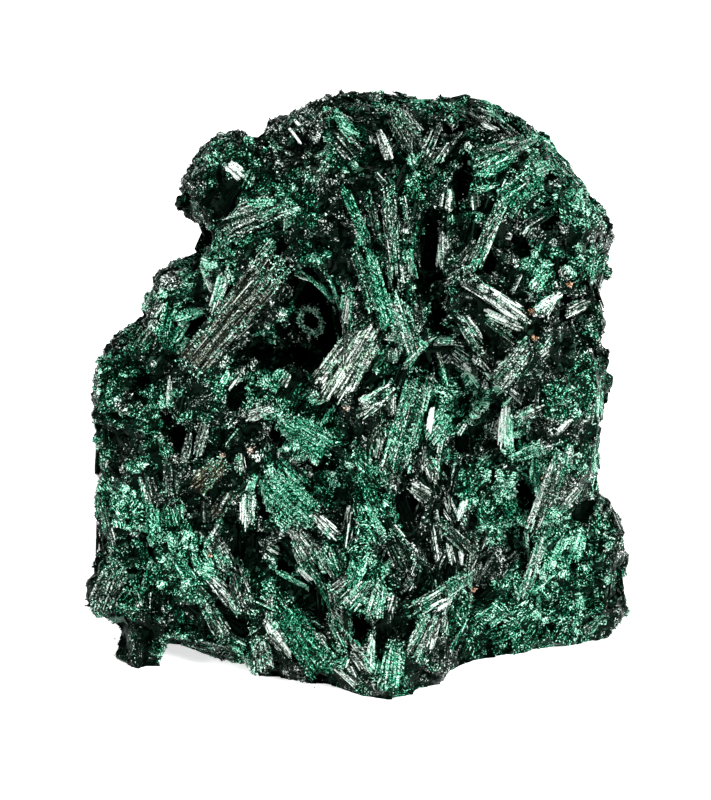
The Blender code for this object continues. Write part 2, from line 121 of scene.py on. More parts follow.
camera_data = bpy.data.cameras.new("camera")
camera_data.sensor_width = SENSOR
camera_data.lens = SENSOR * VIEW_DISTANCE / PICTURE_HEIGHT
camera = bpy.data.objects.new("camera", camera_data)
bpy.context.scene.collection.objects.link(camera)
camera.location = EYE
camera.rotation_mode = "QUATERNION"
camera.rotation_quaternion = Vector(AWAY).to_track_quat("-Z", "Y")
bpy.context.scene.camera = camera
print("lens, mm:", round(camera_data.lens, 1))

# %% [markdown]
# ## Floor and light
#
# Crystals this dark are seen mostly by what they mirror. One big even light would lay a grey veil
# over them, so the room is dim and a few soft boxes stand round the stone: each fibre that happens
# to face one lights up, and its neighbour stays black. The floor is a plain white sheet.

# %% Studio
LOOK_AT = Vector((0, 0, 28 * MM))
# Each soft box: its place and its side in metres, and its power in watts.
SOFT_BOXES = {
    "key": ((0.30, -0.46, 0.42), 0.20, 6.5),
    "left": ((-0.42, -0.30, 0.42), 0.18, 2.2),
    "back": ((0.05, 0.34, 0.58), 0.22, 1.6),
}
ROOM_LIGHT = 0.06
FLOOR_HALF = 4.0
FLOOR_DROP = 0.02 * MM
SHEET_LOOK = {
    "Base Color": (0.93, 0.93, 0.93, 1),
    "Roughness": 0.9,
    "Specular IOR Level": 0.0,
    "Emission Color": (1, 1, 1, 1),
    "Emission Strength": 0.7,
}


def soft_box(name, place, size, power):
    """A square area light that looks at the middle of the specimen."""
    data = bpy.data.lights.new(name, "AREA")
    data.size = size
    data.energy = power
    lamp = bpy.data.objects.new(name, data)
    bpy.context.scene.collection.objects.link(lamp)
    lamp.location = place
    lamp.rotation_mode = "QUATERNION"
    lamp.rotation_quaternion = (LOOK_AT - lamp.location).to_track_quat("-Z", "Y")


for name, (place, size, power) in SOFT_BOXES.items():
    soft_box(name, place, size, power)

world = bpy.data.worlds.new("room")
world.use_nodes = True
room_air = world.node_tree.nodes["Background"]
room_air.inputs["Color"].default_value = (1, 1, 1, 1)
room_air.inputs["Strength"].default_value = ROOM_LIGHT
bpy.context.scene.world = world
bpy.context.scene.view_settings.view_transform = "Standard"

bpy.ops.mesh.primitive_plane_add(size=2 * FLOOR_HALF, location=(0, 0, -FLOOR_DROP))
floor = bpy.context.object
floor.name = "floor"
floor_paint = bpy.data.materials.new("white_sheet")
floor_paint.use_nodes = True
sheet = floor_paint.node_tree.nodes["Principled BSDF"]
for socket, value in SHEET_LOOK.items():
    sheet.inputs[socket].default_value = value
floor.data.materials.append(floor_paint)
print("soft boxes:", len(bpy.data.lights))

# %% [markdown]
# ## Noise, and a few ways to read a mesh
#
# Natural surfaces are never even, at any scale. Noise gives that for nothing: soft noise swells and
# sinks like rolling ground, and knob noise rises to round tops with creases between them, like a
# cauliflower. Blender has both as textures, but here the numbers are needed on the points of a mesh.

# %% Noise helpers
# Large primes that throw the numbers of neighbouring cells far apart.
CELL_PRIMES = (73856093, 19349663, 83492791)
SEED_PRIME = 2654435761
MIXING_PRIMES = (1274126177, 2246822519)
LOW_BITS = 0xFFFFFFFF
FRACTION_BITS = 0xFFFFFF


def hash_at(cells, seed):
    """A random number from 0 to 1 for each whole-number cell, the same at every run."""
    mixed = seed * SEED_PRIME
    for axis, prime in enumerate(CELL_PRIMES):
        mixed = mixed ^ cells[..., axis].astype(np.int64) * prime
    mixed = (mixed ^ (mixed >> 13)) * MIXING_PRIMES[0] & LOW_BITS
    mixed = (mixed ^ (mixed >> 16)) * MIXING_PRIMES[1] & LOW_BITS
    return ((mixed ^ (mixed >> 15)) & FRACTION_BITS) / float(FRACTION_BITS)


def eased(share):
    """A share from 0 to 1 that leaves 0 and reaches 1 gently."""
    return share * share * (3 - 2 * share)


def smooth_noise(points, spacing, seed=0):
    """Soft noise from -1 to 1 with lumps about spacing millimetres apart."""
    place = points / (spacing * MM)
    cell = np.floor(place)
    part = eased(place - cell)
    total = np.zeros(len(points))
    for corner in np.ndindex(2, 2, 2):
        weight = np.ones(len(points))
        for axis in range(3):
            weight = weight * (part[:, axis] if corner[axis] else 1 - part[:, axis])
        total += weight * hash_at(cell + corner, seed)
    return total * 2 - 1


def knob_noise(points, spacing, seed=0):
    """About 0.5 on round tops that stand spacing millimetres apart, down to -0.5 between them."""
    place = points / (spacing * MM)
    cell = np.floor(place)
    nearest = np.full(len(points), 9.0)
    for corner in np.ndindex(3, 3, 3):
        near = cell + np.array(corner) - 1
        centre = near + np.stack([hash_at(near, seed + k) for k in (1, 2, 3)], axis=1)
        nearest = np.minimum(nearest, ((place - centre) ** 2).sum(1))
    return 0.5 - np.sqrt(nearest)


# %% Mesh helpers
def read_numbers(items, name, width=1, kind=np.float32):
    """One property of all items of a mesh, as an array."""
    values = np.zeros(len(items) * width, kind)
    items.foreach_get(name, values)
    values = values.reshape(-1, width) if width > 1 else values
    return values.astype(float) if kind == np.float32 else values


def smoothed(values, edges, rounds):
    """Values passed back and forth along the edges until they are even."""
    count = np.bincount(edges.ravel(), minlength=len(values)).astype(float)
    for _ in range(rounds):
        total = np.zeros_like(values)
        for k in range(values.shape[1]):
            total[:, k] += np.bincount(edges[:, 0], values[edges[:, 1], k], len(values))
            total[:, k] += np.bincount(edges[:, 1], values[edges[:, 0], k], len(values))
        values = total / count[:, None]
    return values


INSET = 0.03 * MM
LOW = np.array(cad_low) + (INSET, INSET, 0)
HIGH = np.array(cad_high) - INSET


def kept_inside(points):
    """Points held in the solid model's box, so that the specimen keeps its size."""
    return np.clip(points, LOW, HIGH)


# %% [markdown]
# ## The crusted body
#
# Under the sheaves lies a body of granular crust. The solid model has its form with flat facets.
# A fine voxel remesh gives it an even skin of small faces. The deepest pits are then pushed in
# along the line of sight, and the rest of the skin is moved along its normals by noise of several
# sizes, as a crust grows. Sculpting by hand would do too, but noise reaches round the back.

# %% Body mesh
BODY_VOXEL = 0.43

body = bpy.data.objects.new("crusted_body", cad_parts[NODE].data.copy())
bpy.context.scene.collection.objects.link(body)
fuse = body.modifiers.new("Fuse", "REMESH")
fuse.mode = "VOXEL"
fuse.voxel_size = BODY_VOXEL * MM
bpy.context.view_layer.update()
evaluated = body.evaluated_get(bpy.context.evaluated_depsgraph_get())
body_mesh = bpy.data.meshes.new_from_object(evaluated)
body.modifiers.clear()
body.data = body_mesh
body_faces = [tuple(face.vertices) for face in body_mesh.polygons]
edges = read_numbers(body_mesh.edges, "vertices", 2, np.int32)
points = read_numbers(body_mesh.vertices, "co", 3)
normals = read_numbers(body_mesh.vertex_normals, "vector", 3)
print("body faces:", len(body_faces))

# %% Pits
# Each pit: u, v, half its width, half its height, and how far it goes in, all in millimetres.
PITS = {
    "cave": (-4.6, 38.2, 2.9, 4.8, 4.5),
    "cave_foot": (-8.9, 34.6, 2.0, 1.8, 2.5),
    "slot": (7.0, 44.8, 1.2, 3.4, 3.0),
    "slot_foot": (7.9, 39.0, 0.8, 2.0, 2.5),
    "crown_pit_left": (-0.3, 58.2, 1.0, 0.4, 0.8),
    "crown_pit_right": (9.4, 57.2, 1.1, 0.6, 1.2),
    "crown_shadow": (-3.8, 55.6, 0.9, 1.2, 1.4),
    "ridge_slot_high": (0.9, 43.2, 0.3, 1.3, 1.6),
    "ridge_slot_low": (1.9, 40.4, 0.3, 1.3, 1.6),
    "crown_slot": (10.6, 51.5, 0.6, 2.6, 2.5),
    "right_pit_high": (19.0, 48.8, 0.9, 1.0, 2.0),
    "right_pit_edge": (19.8, 52.0, 0.7, 0.6, 1.2),
    "y_pit": (12.9, 43.8, 0.9, 0.9, 2.0),
    "y_pit_right": (16.4, 45.6, 0.9, 0.6, 1.6),
    "right_slot": (20.3, 43.5, 0.5, 1.1, 1.6),
    "ring_pit": (21.3, 38.9, 0.7, 0.8, 1.6),
    "left_pit": (-17.2, 26.0, 0.8, 0.6, 2.0),
    "left_pit_band": (-18.8, 28.2, 0.5, 1.3, 1.4),
    "left_pit_end": (-15.9, 24.9, 0.4, 0.5, 1.0),
    "left_pit_high": (-21.8, 31.8, 0.5, 0.9, 0.8),
    "middle_pit": (-8.3, 26.0, 1.0, 1.1, 2.5),
    "rosette_pit": (-12.2, 30.6, 0.9, 1.0, 1.6),
    "centre_pit": (5.6, 19.3, 0.9, 1.4, 2.5),
    "centre_pit_small": (8.8, 23.4, 0.8, 0.4, 1.5),
    "shelf_shadow": (-3.8, 23.6, 1.5, 0.5, 1.6),
    "low_pit": (-0.2, 7.4, 0.7, 1.1, 2.0),
    "low_pit_tail": (-0.9, 5.8, 0.5, 0.8, 1.4),
    "low_pit_small": (4.4, 10.8, 0.6, 0.4, 1.4),
    "wall_slot": (17.0, 21.0, 0.9, 2.5, 2.5),
    "wall_pit": (17.1, 23.3, 0.7, 0.7, 1.6),
    "low_left_pit": (-7.2, 13.8, 0.9, 1.1, 2.0),
    "low_left_slot": (-12.3, 14.0, 0.8, 1.6, 1.6),
    "block_slot": (-9.5, 19.8, 0.4, 1.4, 1.6),
    "rail_pit": (7.5, 15.4, 0.6, 0.6, 1.6),
    "edge_slot": (-21.3, 15.4, 0.4, 1.2, 1.4),
    "plank_pit": (12.5, 32.0, 0.8, 0.6, 1.6),
}
# Only skin that lies this close behind the first surface seen, in millimetres, is pushed in.
FIRST_SEEN = 2.5
# A pit ends at this many times its half size, and its wall is this share of it wide.
PIT_EDGE = 1.4
PIT_WALL = 0.7
# How far the rims are bent aside and over what distance, broadly and finely, in millimetres.
RIM_BROAD = (0.9, 2.0)
RIM_FINE = (0.4, 0.9)


def bent(points, seed):
    """How far the rims of the pits are bent aside at each point, in millimetres."""
    broad = RIM_BROAD[0] * smooth_noise(points, RIM_BROAD[1], seed)
    return broad + RIM_FINE[0] * smooth_noise(points, RIM_FINE[1], seed + 1)


def pit_reach(points):
    """How far in the pits go at each point, and how much of a pit's shade lies there.

    Their outlines are bent by noise, because a hole with an even rim would look drilled.
    """
    uv = seen_uv(points)
    uv[:, 0] += bent(points, 51)
    uv[:, 1] += bent(points, 53)
    depth = np.zeros(len(uv))
    share = np.zeros(len(uv))
    for u, v, half_width, half_height, into in PITS.values():
        off = np.hypot((uv[:, 0] - u) / half_width, (uv[:, 1] - v) / half_height)
        here = eased(np.clip(PIT_EDGE - off, 0, PIT_WALL) / PIT_WALL)
        depth = np.maximum(depth, here * into)
        share = np.maximum(share, here)
    return depth, share


plain_tree = BVHTree.FromPolygons(points.tolist(), body_faces)
push, pit_share = pit_reach(points)
for index in np.flatnonzero(push > 0):
    line = unit(points[index] - EYE)
    first = plain_tree.ray_cast(EYE, line)
    beyond = np.linalg.norm(points[index] - EYE) - (first[3] or 0)
    if beyond > FIRST_SEEN * MM:
        push[index] = pit_share[index] = 0
points += unit(points - EYE) * push[:, None] * MM
print("points pushed into pits:", int((push > 0).sum()))

# %% Crust relief
# The first number is the spacing of the swell or the knobs, the second their height. Creases wander
# where soft noise changes its sign: their spacing, half their width as noise, and their depth.
BODY_SINK = 0.3
SWELL = (3.1, 0.45)
KNOBS = (2.2, 0.8)
SMALL_KNOBS = (1.05, 0.5)
CREASES = (2.8, 0.16, 0.5)
# Near the ground, up to this height in millimetres, the crust moves less and less up or down.
GROUND_BAND = 0.8
# Places where the edge of the stone swells or dips: u, v, reach and height, all in millimetres.
NUDGES = (
    (-18.6, 49.5, 1.6, -0.8), (-13.6, 56.6, 2.4, 0.7), (-10.4, 57.2, 0.9, -0.9),
    (-18.3, 43.2, 1.8, 0.4), (-0.8, 61.4, 2.2, -0.6), (10.7, 60.6, 2.4, -0.4),
    (5.0, 60.4, 1.6, 0.3), (25.8, 35.0, 1.8, -0.8), (24.5, 26.5, 3.0, -0.2), (26.4, 17.5, 1.8, 0.3),
    (-27.4, 11.5, 3.0, -0.3), (-26.0, 22.5, 1.8, 0.3), (-27.0, 28.5, 2.4, -0.4),
    (24.8, 47.0, 1.6, 0.3), (22.5, 52.6, 1.6, 0.2), (25.2, 35.5, 5.5, -0.5),
    (-17.0, 46.0, 1.8, -0.8), (-21.0, 41.5, 2.0, 0.4), (-25.6, 5.8, 2.2, -0.6),
    (-7.0, 59.3, 2.0, 0.3), (26.4, 15.0, 1.8, 0.5), (26.6, 10.5, 1.6, -0.2),
    (-9.4, 58.2, 1.2, -0.2),
)
# Places that stand aside from where the solid model has them, at the foot and in the left notch:
# u, v, reach, and how far to the right and to the back.
SHIFTS = (
    (-3.4, 1.0, 3.0, 0.0, 2.2), (16.0, 4.6, 5.0, 0.0, 1.1), (24.0, 5.4, 4.0, 0.0, 2.0),
    (-13.0, 4.6, 3.5, 0.0, -1.2), (9.0, 3.2, 2.0, 0.0, -1.2), (-17.6, 45.9, 2.4, 1.6, 0.0),
)

# A named place acts up to this many times its reach. A shift is flatter than it is wide.
PLACE_EDGE = 1.4
SHIFT_EDGE = 1.3
SHIFT_FLATTER = 1.5


def round_place(uv, u, v, reach, edge=PLACE_EDGE, flatter=1.0):
    """1 in the middle of a place of the view plane, dying out to 0 at its edge."""
    off = np.hypot(uv[:, 0] - u, (uv[:, 1] - v) * flatter) / reach
    return np.clip(edge - off, 0, 1)


uv = seen_uv(points)
nudge = np.zeros(len(points))
for u, v, reach, height in NUDGES:
    nudge += height * round_place(uv, u, v, reach)
crease = np.clip(1 - np.abs(smooth_noise(points, CREASES[0], 4)) / CREASES[1], 0, 1)
relief = (
    SWELL[1] * smooth_noise(points, SWELL[0], 1)
    + KNOBS[1] * knob_noise(points, KNOBS[0], 2)
    + SMALL_KNOBS[1] * knob_noise(points, SMALL_KNOBS[0], 3)
    - CREASES[2] * crease
    + nudge
    - BODY_SINK
)
standing = np.clip(points[:, 2] / (GROUND_BAND * MM), 0, 1)
moved = normals * relief[:, None]
moved[:, 2] *= standing
for u, v, reach, aside, back in SHIFTS:
    here = round_place(uv, u, v, reach, SHIFT_EDGE, SHIFT_FLATTER)
    moved += here[:, None] * (aside, back, 0)
points = kept_inside(points + moved * MM)
body_mesh.vertices.foreach_set("co", points.astype(np.float32).ravel())
body_mesh.update()
normals = read_numbers(body_mesh.vertex_normals, "vector", 3)
tree = BVHTree.FromPolygons(points.tolist(), body_faces)
print("crust stands up to, mm:", round(float(relief.max() - relief.min()), 2))

# %% Shade in the hollows
# Painted shade: tone is taken off in hollows, pits and creases, where shade falls, and a little is
# added on bumps. A point is in a hollow when its smoothed neighbourhood lies outside it.
BROAD_SHADE = 0.08
SMALL_SHADE = 0.55
PIT_SHADE = 0.42
CREASE_SHADE = 0.27
SHADE_RANGE = (-0.08, 0.6)


def hollowness(rounds):
    """How deep each point lies in a hollow, in millimetres: a broader one with more rounds."""
    return ((smoothed(points, edges, rounds) - points) * normals).sum(1) / MM


shade = BROAD_SHADE * hollowness(60) + SMALL_SHADE * hollowness(8)
shade = np.clip(shade + PIT_SHADE * pit_share + CREASE_SHADE * crease, *SHADE_RANGE)
face_corner = np.array([face[0] for face in body_faces])
face_shade = shade[face_corner]
face_area = read_numbers(body_mesh.polygons, "area")
face_centre = read_numbers(body_mesh.polygons, "center", 3)
face_outward = unit(smoothed(normals, edges, 4))[face_corner]
print("shade runs from", round(float(shade.min()), 2), "to", round(float(shade.max()), 2))

# %% [markdown]
# ## Fibres
#
# A fibre is a thin three-sided crystal. Hair curves or instances would be light to store, but real
# mesh can be cut, printed and lit like the rest, so each fibre is a closed prism with flat faces,
# and its random roll decides which soft box it mirrors. A grain of the crust is plainer still: a
# pyramid on three corners, half sunk. Arrays make them by the thousand: a row of starts, a row of
# ends, and the corners follow.

# %% Prisms and pyramids
THIRDS = np.array([0, 2 * math.pi / 3, 4 * math.pi / 3])
# How much wider and lower than round a crystal is.
FLATNESS = (1.25, 0.8)
FIBRE_RADIUS = (0.055, 0.085)
FIBRE_TAPER = (0.5, 1)
# Rolls are drawn up to a little more than a full turn, in radians.
ANY_ROLL = 7
LUMPINESS = (0.75, 1.15)
PRISM_FACES = ((0, 1, 4, 3), (1, 2, 5, 4), (2, 0, 3, 5), (2, 1, 0), (3, 4, 5))
PYRAMID_FACES = ((2, 1, 0), (0, 1, 3), (1, 2, 3), (2, 0, 3))

ball = bmesh.new()
bmesh.ops.create_icosphere(ball, subdivisions=1, radius=1)
BALL_POINTS = np.array([point.co for point in ball.verts])
BALL_FACES = tuple(tuple(point.index for point in face.verts) for face in ball.faces)
ball.free()
FACES_BY_CORNERS = {4: PYRAMID_FACES, 6: PRISM_FACES, len(BALL_POINTS): BALL_FACES}
# How strongly the fine speckle shows on clean crust and on fibres; it is partly grain and partly painted
# glints.
CLEAN_CRUST_SPECKLE = 0.66
FIBRE_SPECKLE = (0.25, 0.45)


def corner_ring(along, outward, radius, roll):
    """Three corners round a line, as offsets from it."""
    side = unit(np.cross(along, outward))
    up = np.cross(side, along)
    angle = roll[:, None] + THIRDS
    wide = np.cos(angle)[..., None] * side[:, None] * FLATNESS[0]
    high = np.sin(angle)[..., None] * up[:, None] * FLATNESS[1]
    return (wide + high) * radius[:, None, None]


def prisms(start, end, outward, coarse, random):
    """Fibres from start to end: six corners each, and coarse times the usual thickness."""
    count = len(start)
    radius = random.uniform(*FIBRE_RADIUS, count) * coarse * MM
    taper = random.uniform(*FIBRE_TAPER, count)[:, None, None]
    ring = corner_ring(unit(end - start), outward, radius, random.uniform(0, ANY_ROLL, count))
    return np.concatenate([start[:, None] + ring, end[:, None] + ring * taper], axis=1)


def pyramids(foot, tip, radius, random):
    """Grains or needles from foot to tip: four corners each."""
    askew = random.normal(0, 1, foot.shape)
    ring = corner_ring(unit(tip - foot), askew, radius, random.uniform(0, ANY_ROLL, len(foot)))
    return np.concatenate([foot[:, None] + ring, tip[:, None]], axis=1)


def nodules(middle, radius, random):
    """Lumpy little balls: twelve corners each, no two alike."""
    count = len(middle)
    first = unit(random.normal(0, 1, (count, 3)))
    second = unit(np.cross(first, unit(random.normal(0, 1, (count, 3)))))
    turned = np.stack([first, second, np.cross(first, second)], axis=1)
    lumpy = BALL_POINTS * random.uniform(*LUMPINESS, (count, len(BALL_POINTS), 1))
    return middle[:, None] + lumpy @ turned * radius[:, None, None]


def crust_speckle(green):
    """How strongly the fine speckle, partly grain and partly painted glints, shows on crust: clean
    ground less than green ground.
    """
    return CLEAN_CRUST_SPECKLE + (1 - CLEAN_CRUST_SPECKLE) * green


def fibre_speckle(green):
    """How strongly the fine speckle, partly grain and partly painted glints, shows on fibres: less than
    on crust, and more where they are green.
    """
    return FIBRE_SPECKLE[0] + FIBRE_SPECKLE[1] * green


class Gathered:
    """Crystals gathered for one piece, with the four looks that the finish reads."""

    def __init__(self, name):
        """Start with nothing gathered for the named piece."""
        self.name = name
        self.blocks = []

    def add(self, corners, tone, green, rust=0.0, speckle_strength=None):
        """Take up crystals with their looks; the speckle, partly painted glints, is that of crust unless
        given.
        """
        green = np.clip(green, 0, 1)
        looks = (tone, green, rust, crust_speckle(green) if speckle_strength is None else speckle_strength)
        self.blocks.append((corners, *(np.broadcast_to(value, len(corners)) for value in looks)))

    def piece(self):
        """One mesh object of all the crystals."""
        points, faces, values = [], [], ([], [], [], [])
        first = 0
        for corners, *looks in self.blocks:
            per_crystal = corners.shape[1]
            offsets = first + np.arange(len(corners))[:, None] * per_crystal
            for face in FACES_BY_CORNERS[per_crystal]:
                faces.extend((offsets + np.array(face)).tolist())
            for kept, value in zip(values, looks):
                kept.append(np.repeat(value, per_crystal))
            points.append(corners.reshape(-1, 3))
            first += corners.shape[0] * per_crystal
        mesh = bpy.data.meshes.new(self.name)
        mesh.from_pydata(kept_inside(np.concatenate(points)).tolist(), [], faces)
        set_looks(mesh, *(np.concatenate(value) for value in values))
        made = bpy.data.objects.new(self.name, mesh)
        bpy.context.scene.collection.objects.link(made)
        crystals = sum(len(block[0]) for block in self.blocks)
        print(self.name, "crystals:", crystals, "triangles:", sum(len(face) - 2 for face in faces))
        return made


def set_looks(mesh, tone, green, rust, speckle_strength):
    """What the mineral's finish reads on every point: how light (painted shade and glints included),
    green, rusty and speckled it is.
    """
    for name, value in (("tone", tone), ("green", green), ("rust", rust), ("speckle_strength", speckle_strength)):
        layer = mesh.attributes.new(name, "FLOAT", "POINT")
        layer.data.foreach_set("value", value.astype(np.float32))


# %% [markdown]
# ## Where it is green
#
# The sheaves are nearly black where they are clean and emerald where the young crust covers them.
# In front the patches lie at known places. Round the back nobody has seen them, so noise spreads
# them in the same sizes.

# %% Green places
# Each place: u, v, reach in millimetres, and strength.
GREEN_PLACES = (
    (18.7, 55.0, 2.5, 1.0), (6.7, 59.6, 1.2, 1.0), (21.7, 49.5, 2.6, 0.8), (12.5, 53.0, 2.2, 0.8),
    (6.2, 51.5, 2.8, 0.6), (1.5, 43.0, 1.0, 0.9), (-5.5, 49.2, 2.0, 0.9), (-14.3, 54.0, 0.9, 1.0),
    (-13.3, 43.0, 1.3, 0.9), (-4.8, 45.2, 2.0, 0.7), (-10.3, 41.5, 1.6, 0.8),
    (-18.3, 40.0, 2.2, 0.6), (-9.6, 31.5, 1.8, 0.9), (-5.3, 27.0, 3.0, 1.0), (-7.3, 20.5, 3.0, 1.0),
    (-1.3, 22.0, 3.0, 0.8), (-22.4, 28.3, 1.4, 0.8), (-19.0, 16.5, 2.4, 1.0),
    (-16.8, 12.5, 2.6, 0.8), (-8.0, 12.0, 3.6, 0.5), (-24.8, 13.5, 1.8, 0.6), (3.5, 3.0, 2.6, 0.9),
    (1.0, 11.0, 2.6, 0.7), (2.0, 18.0, 2.6, 0.7), (-24.0, 19.5, 2.6, 0.9), (-20.0, 13.5, 3.2, 1.0),
    (-24.0, 10.0, 2.6, 0.8), (21.0, 11.0, 4.0, 1.0), (10.0, 30.0, 3.0, 0.7), (18.5, 43.0, 2.4, 0.7),
    (9.5, 60.0, 2.0, 0.6), (-16.5, 43.5, 2.0, 1.0), (22.5, 43.5, 2.4, 0.8), (18.5, 22.5, 2.4, 0.9),
    (-18.3, 36.5, 2.4, 0.6), (16.5, 10.0, 3.0, 1.0), (15.6, 25.5, 1.8, 1.0), (14.5, 19.0, 3.0, 0.9),
    (12.0, 22.0, 2.4, 0.7), (23.0, 32.0, 2.2, 0.9), (20.5, 30.0, 2.0, 0.8), (20.5, 15.0, 3.6, 0.9),
    (20.0, 8.0, 3.2, 0.9), (12.5, 6.5, 3.6, 0.8),
)
# Each place: u, v, reach in millimetres, and how much paler its tone is made, darker below nought:
# partly the crust's own tone, partly painted light on places in shade and painted shade on places
# in full light.
TONE_AND_LIGHT_PLACES = (
    (17.0, 17.0, 8.0, 0.07), (19.5, 26.5, 4.0, 0.04), (-1.0, 19.5, 6.0, 0.05),
    (3.0, 3.5, 4.0, 0.07), (19.0, 8.0, 5.0, 0.05), (-18.0, 18.0, 4.0, 0.06),
    (-10.0, 51.0, 5.0, -0.09), (-11.5, 56.0, 3.5, -0.06), (-16.0, 49.0, 4.0, -0.03),
    (-23.0, 33.0, 5.0, -0.07), (-26.0, 12.0, 4.5, -0.06), (-17.5, 42.5, 3.0, 0.10),
    (10.5, 31.0, 4.5, 0.14), (13.5, 27.5, 3.5, 0.08), (-8.0, 24.0, 4.5, 0.07),
    (-7.5, 11.0, 4.5, 0.09), (8.0, 60.5, 4.0, -0.08), (13.0, 46.0, 3.0, -0.04),
    (22.0, 32.5, 2.5, -0.03), (25.5, 8.0, 3.0, -0.03), (2.2, 52.0, 2.5, -0.10),
    (6.5, 48.0, 2.5, -0.10), (-1.5, 44.0, 2.0, -0.10), (-19.0, 38.0, 3.0, 0.10),
    (22.3, 36.5, 2.5, 0.14), (6.0, 20.5, 2.2, -0.08), (14.5, 20.0, 2.2, 0.06),
    (18.0, 16.0, 3.0, 0.07), (-1.5, 16.0, 2.5, 0.06), (-22.0, 6.5, 3.0, -0.05),
    (12.5, 42.5, 2.0, -0.04), (9.5, 48.0, 2.0, -0.06),
)
# A green place acts up to this many times its reach, and counts this much.
GREEN_EDGE = 1.45
GREEN_STRENGTH = 1.15
# Green that noise spreads: how much there is, how it swings, over what distance, and the share of
# it that is kept in front, where the places are known.
WILD_GREEN = (0.35, 0.9, 7.0)
WILD_IN_FRONT = 0.4
# Two sizes of mottling, each with its strength and spacing, and what is added everywhere.
MOTTLES = ((0.5, 2.2), (0.14, 0.7))
GREEN_EVERYWHERE = 0.14


def tone_and_light_lift(points, outward):
    """How much to add to the tone at the listed places: partly own tone, partly painted light and shade.
    """
    uv = seen_uv(points)
    added = np.zeros(len(points))
    for u, v, reach, strength in TONE_AND_LIGHT_PLACES:
        added += strength * round_place(uv, u, v, reach)
    return added * facing(points, outward)


def greenness(points, outward):
    """How green the crust is, from 0 to 1."""
    uv = seen_uv(points)
    named = np.zeros(len(points))
    for u, v, reach, strength in GREEN_PLACES:
        named = np.maximum(named, strength * round_place(uv, u, v, reach, GREEN_EDGE))
    amount, swings, spacing = WILD_GREEN
    wild = np.clip(amount + swings * smooth_noise(points, spacing, 11), 0, 1)
    front = facing(points, outward)
    patchy = front * np.maximum(GREEN_STRENGTH * named, WILD_IN_FRONT * wild) + (1 - front) * wild
    mottle = 0
    for seed, (strength, spacing) in enumerate(MOTTLES, 12):
        mottle = mottle + strength * smooth_noise(points, spacing, seed)
    return np.clip(patchy + mottle + GREEN_EVERYWHERE, 0, 1)


face_green = greenness(face_centre, face_outward)
print("green share of the crust:", round(float((face_green > 0.5).mean()), 2))

# %% [markdown]
# ## How a sheaf is filled
#
# A sheaf is not a fan of whole sticks. Its fibres run side by side with no room between them, each
# line has snapped every couple of millimetres, and here and there a splinter is missing, so a layer
# below shows. So a sheaf is filled line by line and layer by layer, and every line is cut in parts.

# %% Lines of a sheaf
LAYER_STEP = 0.12
FIBRE_PITCH = 0.13
PART_LENGTH = 2.0
MISSING = 0.14
# Where a line lies in its pitch, and where its parts start and end, as shares of a part.
LINE_PLACE = (0.1, 0.9)
PART_START = (-0.3, 0.25)
PART_END = (-0.25, 0.3)
SHORTEST_PART = 0.08
# How far the ends of a sheaf are uneven, as shares of its length: by fibre, strand and shape.
PAST_END = 0.04
RAGGED_END = 0.14
STRAND_ROOT = 0.12
STRAND_TIP = 0.16
ROUNDED_END = 0.16
STRAND_WIDTH = 0.42
STRAND_SQUEEZE = 0.8
STRAND_SINK = 0.16
UNEVEN_LEVEL = 0.06
LINE_TONE = 0.06
PART_TONE = 0.035
STRAND_TONE = 0.1
STRAND_MIDDLE = 0.45
# Painted shade: each layer below the top one is made this much darker.
DEEPER_PAINTED_SHADE = 0.06
# Painted glints: the share of crystals made paler as if they caught the light, and how much paler a
# fibre is made.
GLINT_SHARE = 0.05
FIBRE_GLINT = (0.08, 0.2)


def glints(count, strength, random):
    """Painted glints: tone added to a few random crystals, as if they caught the light."""
    return (random.random(count) < GLINT_SHARE) * random.uniform(*strength, count)


def lines_of_sheaf(width, length, layers, random, coarse=1.0):
    """Each part's place across, level, start, end and tone, with starts and ends from 0 to 1.

    Neighbouring lines hold together as strands, which lie higher or lower and break off apart.
    The tone carries painted glints, and painted shade on the layers below the top one.
    """
    lines = max(3, round(width / FIBRE_PITCH / coarse))
    parts = max(1, round(length / PART_LENGTH / coarse))
    layer, line, part = (side.ravel() for side in np.indices((layers, lines, parts)))
    count = len(line)
    share = (line + random.uniform(*LINE_PLACE, count)) / lines - 0.5
    strands = max(1, round(width / STRAND_WIDTH / coarse))
    strand = np.clip(((share + 0.5) * strands).astype(int), 0, strands - 1)
    middle = (strand + 0.5) / strands - 0.5
    share = middle + (share - middle) * STRAND_SQUEEZE
    strand_low, strand_dark, strand_late, strand_early = random.random((4, strands))[:, strand]
    start = (part + random.uniform(*PART_START, count)) / parts
    end = (part + 1 + random.uniform(*PART_END, count)) / parts
    rounding = ROUNDED_END * (2 * share) ** 2
    first_start = random.uniform(-PAST_END, RAGGED_END, count) + STRAND_ROOT * strand_late + rounding
    last_end = 1 - random.uniform(-PAST_END, RAGGED_END, count) - STRAND_TIP * strand_early - rounding
    start = np.where(part == 0, first_start, start)
    end = np.where(part == parts - 1, last_end, end)
    end = np.maximum(end, start + SHORTEST_PART)
    level = layer * LAYER_STEP - STRAND_SINK * strand_low
    level += random.uniform(-UNEVEN_LEVEL, UNEVEN_LEVEL, count)
    tone = random.normal(0, LINE_TONE, (layers, lines))[layer, line] + random.normal(0, PART_TONE, count)
    tone += glints(count, FIBRE_GLINT, random)
    tone -= STRAND_TONE * (strand_dark - STRAND_MIDDLE) + DEEPER_PAINTED_SHADE * (layers - 1 - layer)
    kept = (layer == 0) | (random.random(count) > MISSING)
    return (values[kept] for values in (share, level, start, end, tone))


# %% [markdown]
# ## The sheaves that are picked out
#
# Sheaves that can be told apart from the front are drawn in the view plane: root, tip and widths.
# A sheaf of real crystals is stiff. So its footprint is probed on a small grid, a smooth sheet is
# fitted through the depths found, and its fibres lie on that sheet, thickest along the middle.

# %% Probing
# The grid of lines sent through a sheaf, along and across it.
SHEET_GRID = (9, 5)
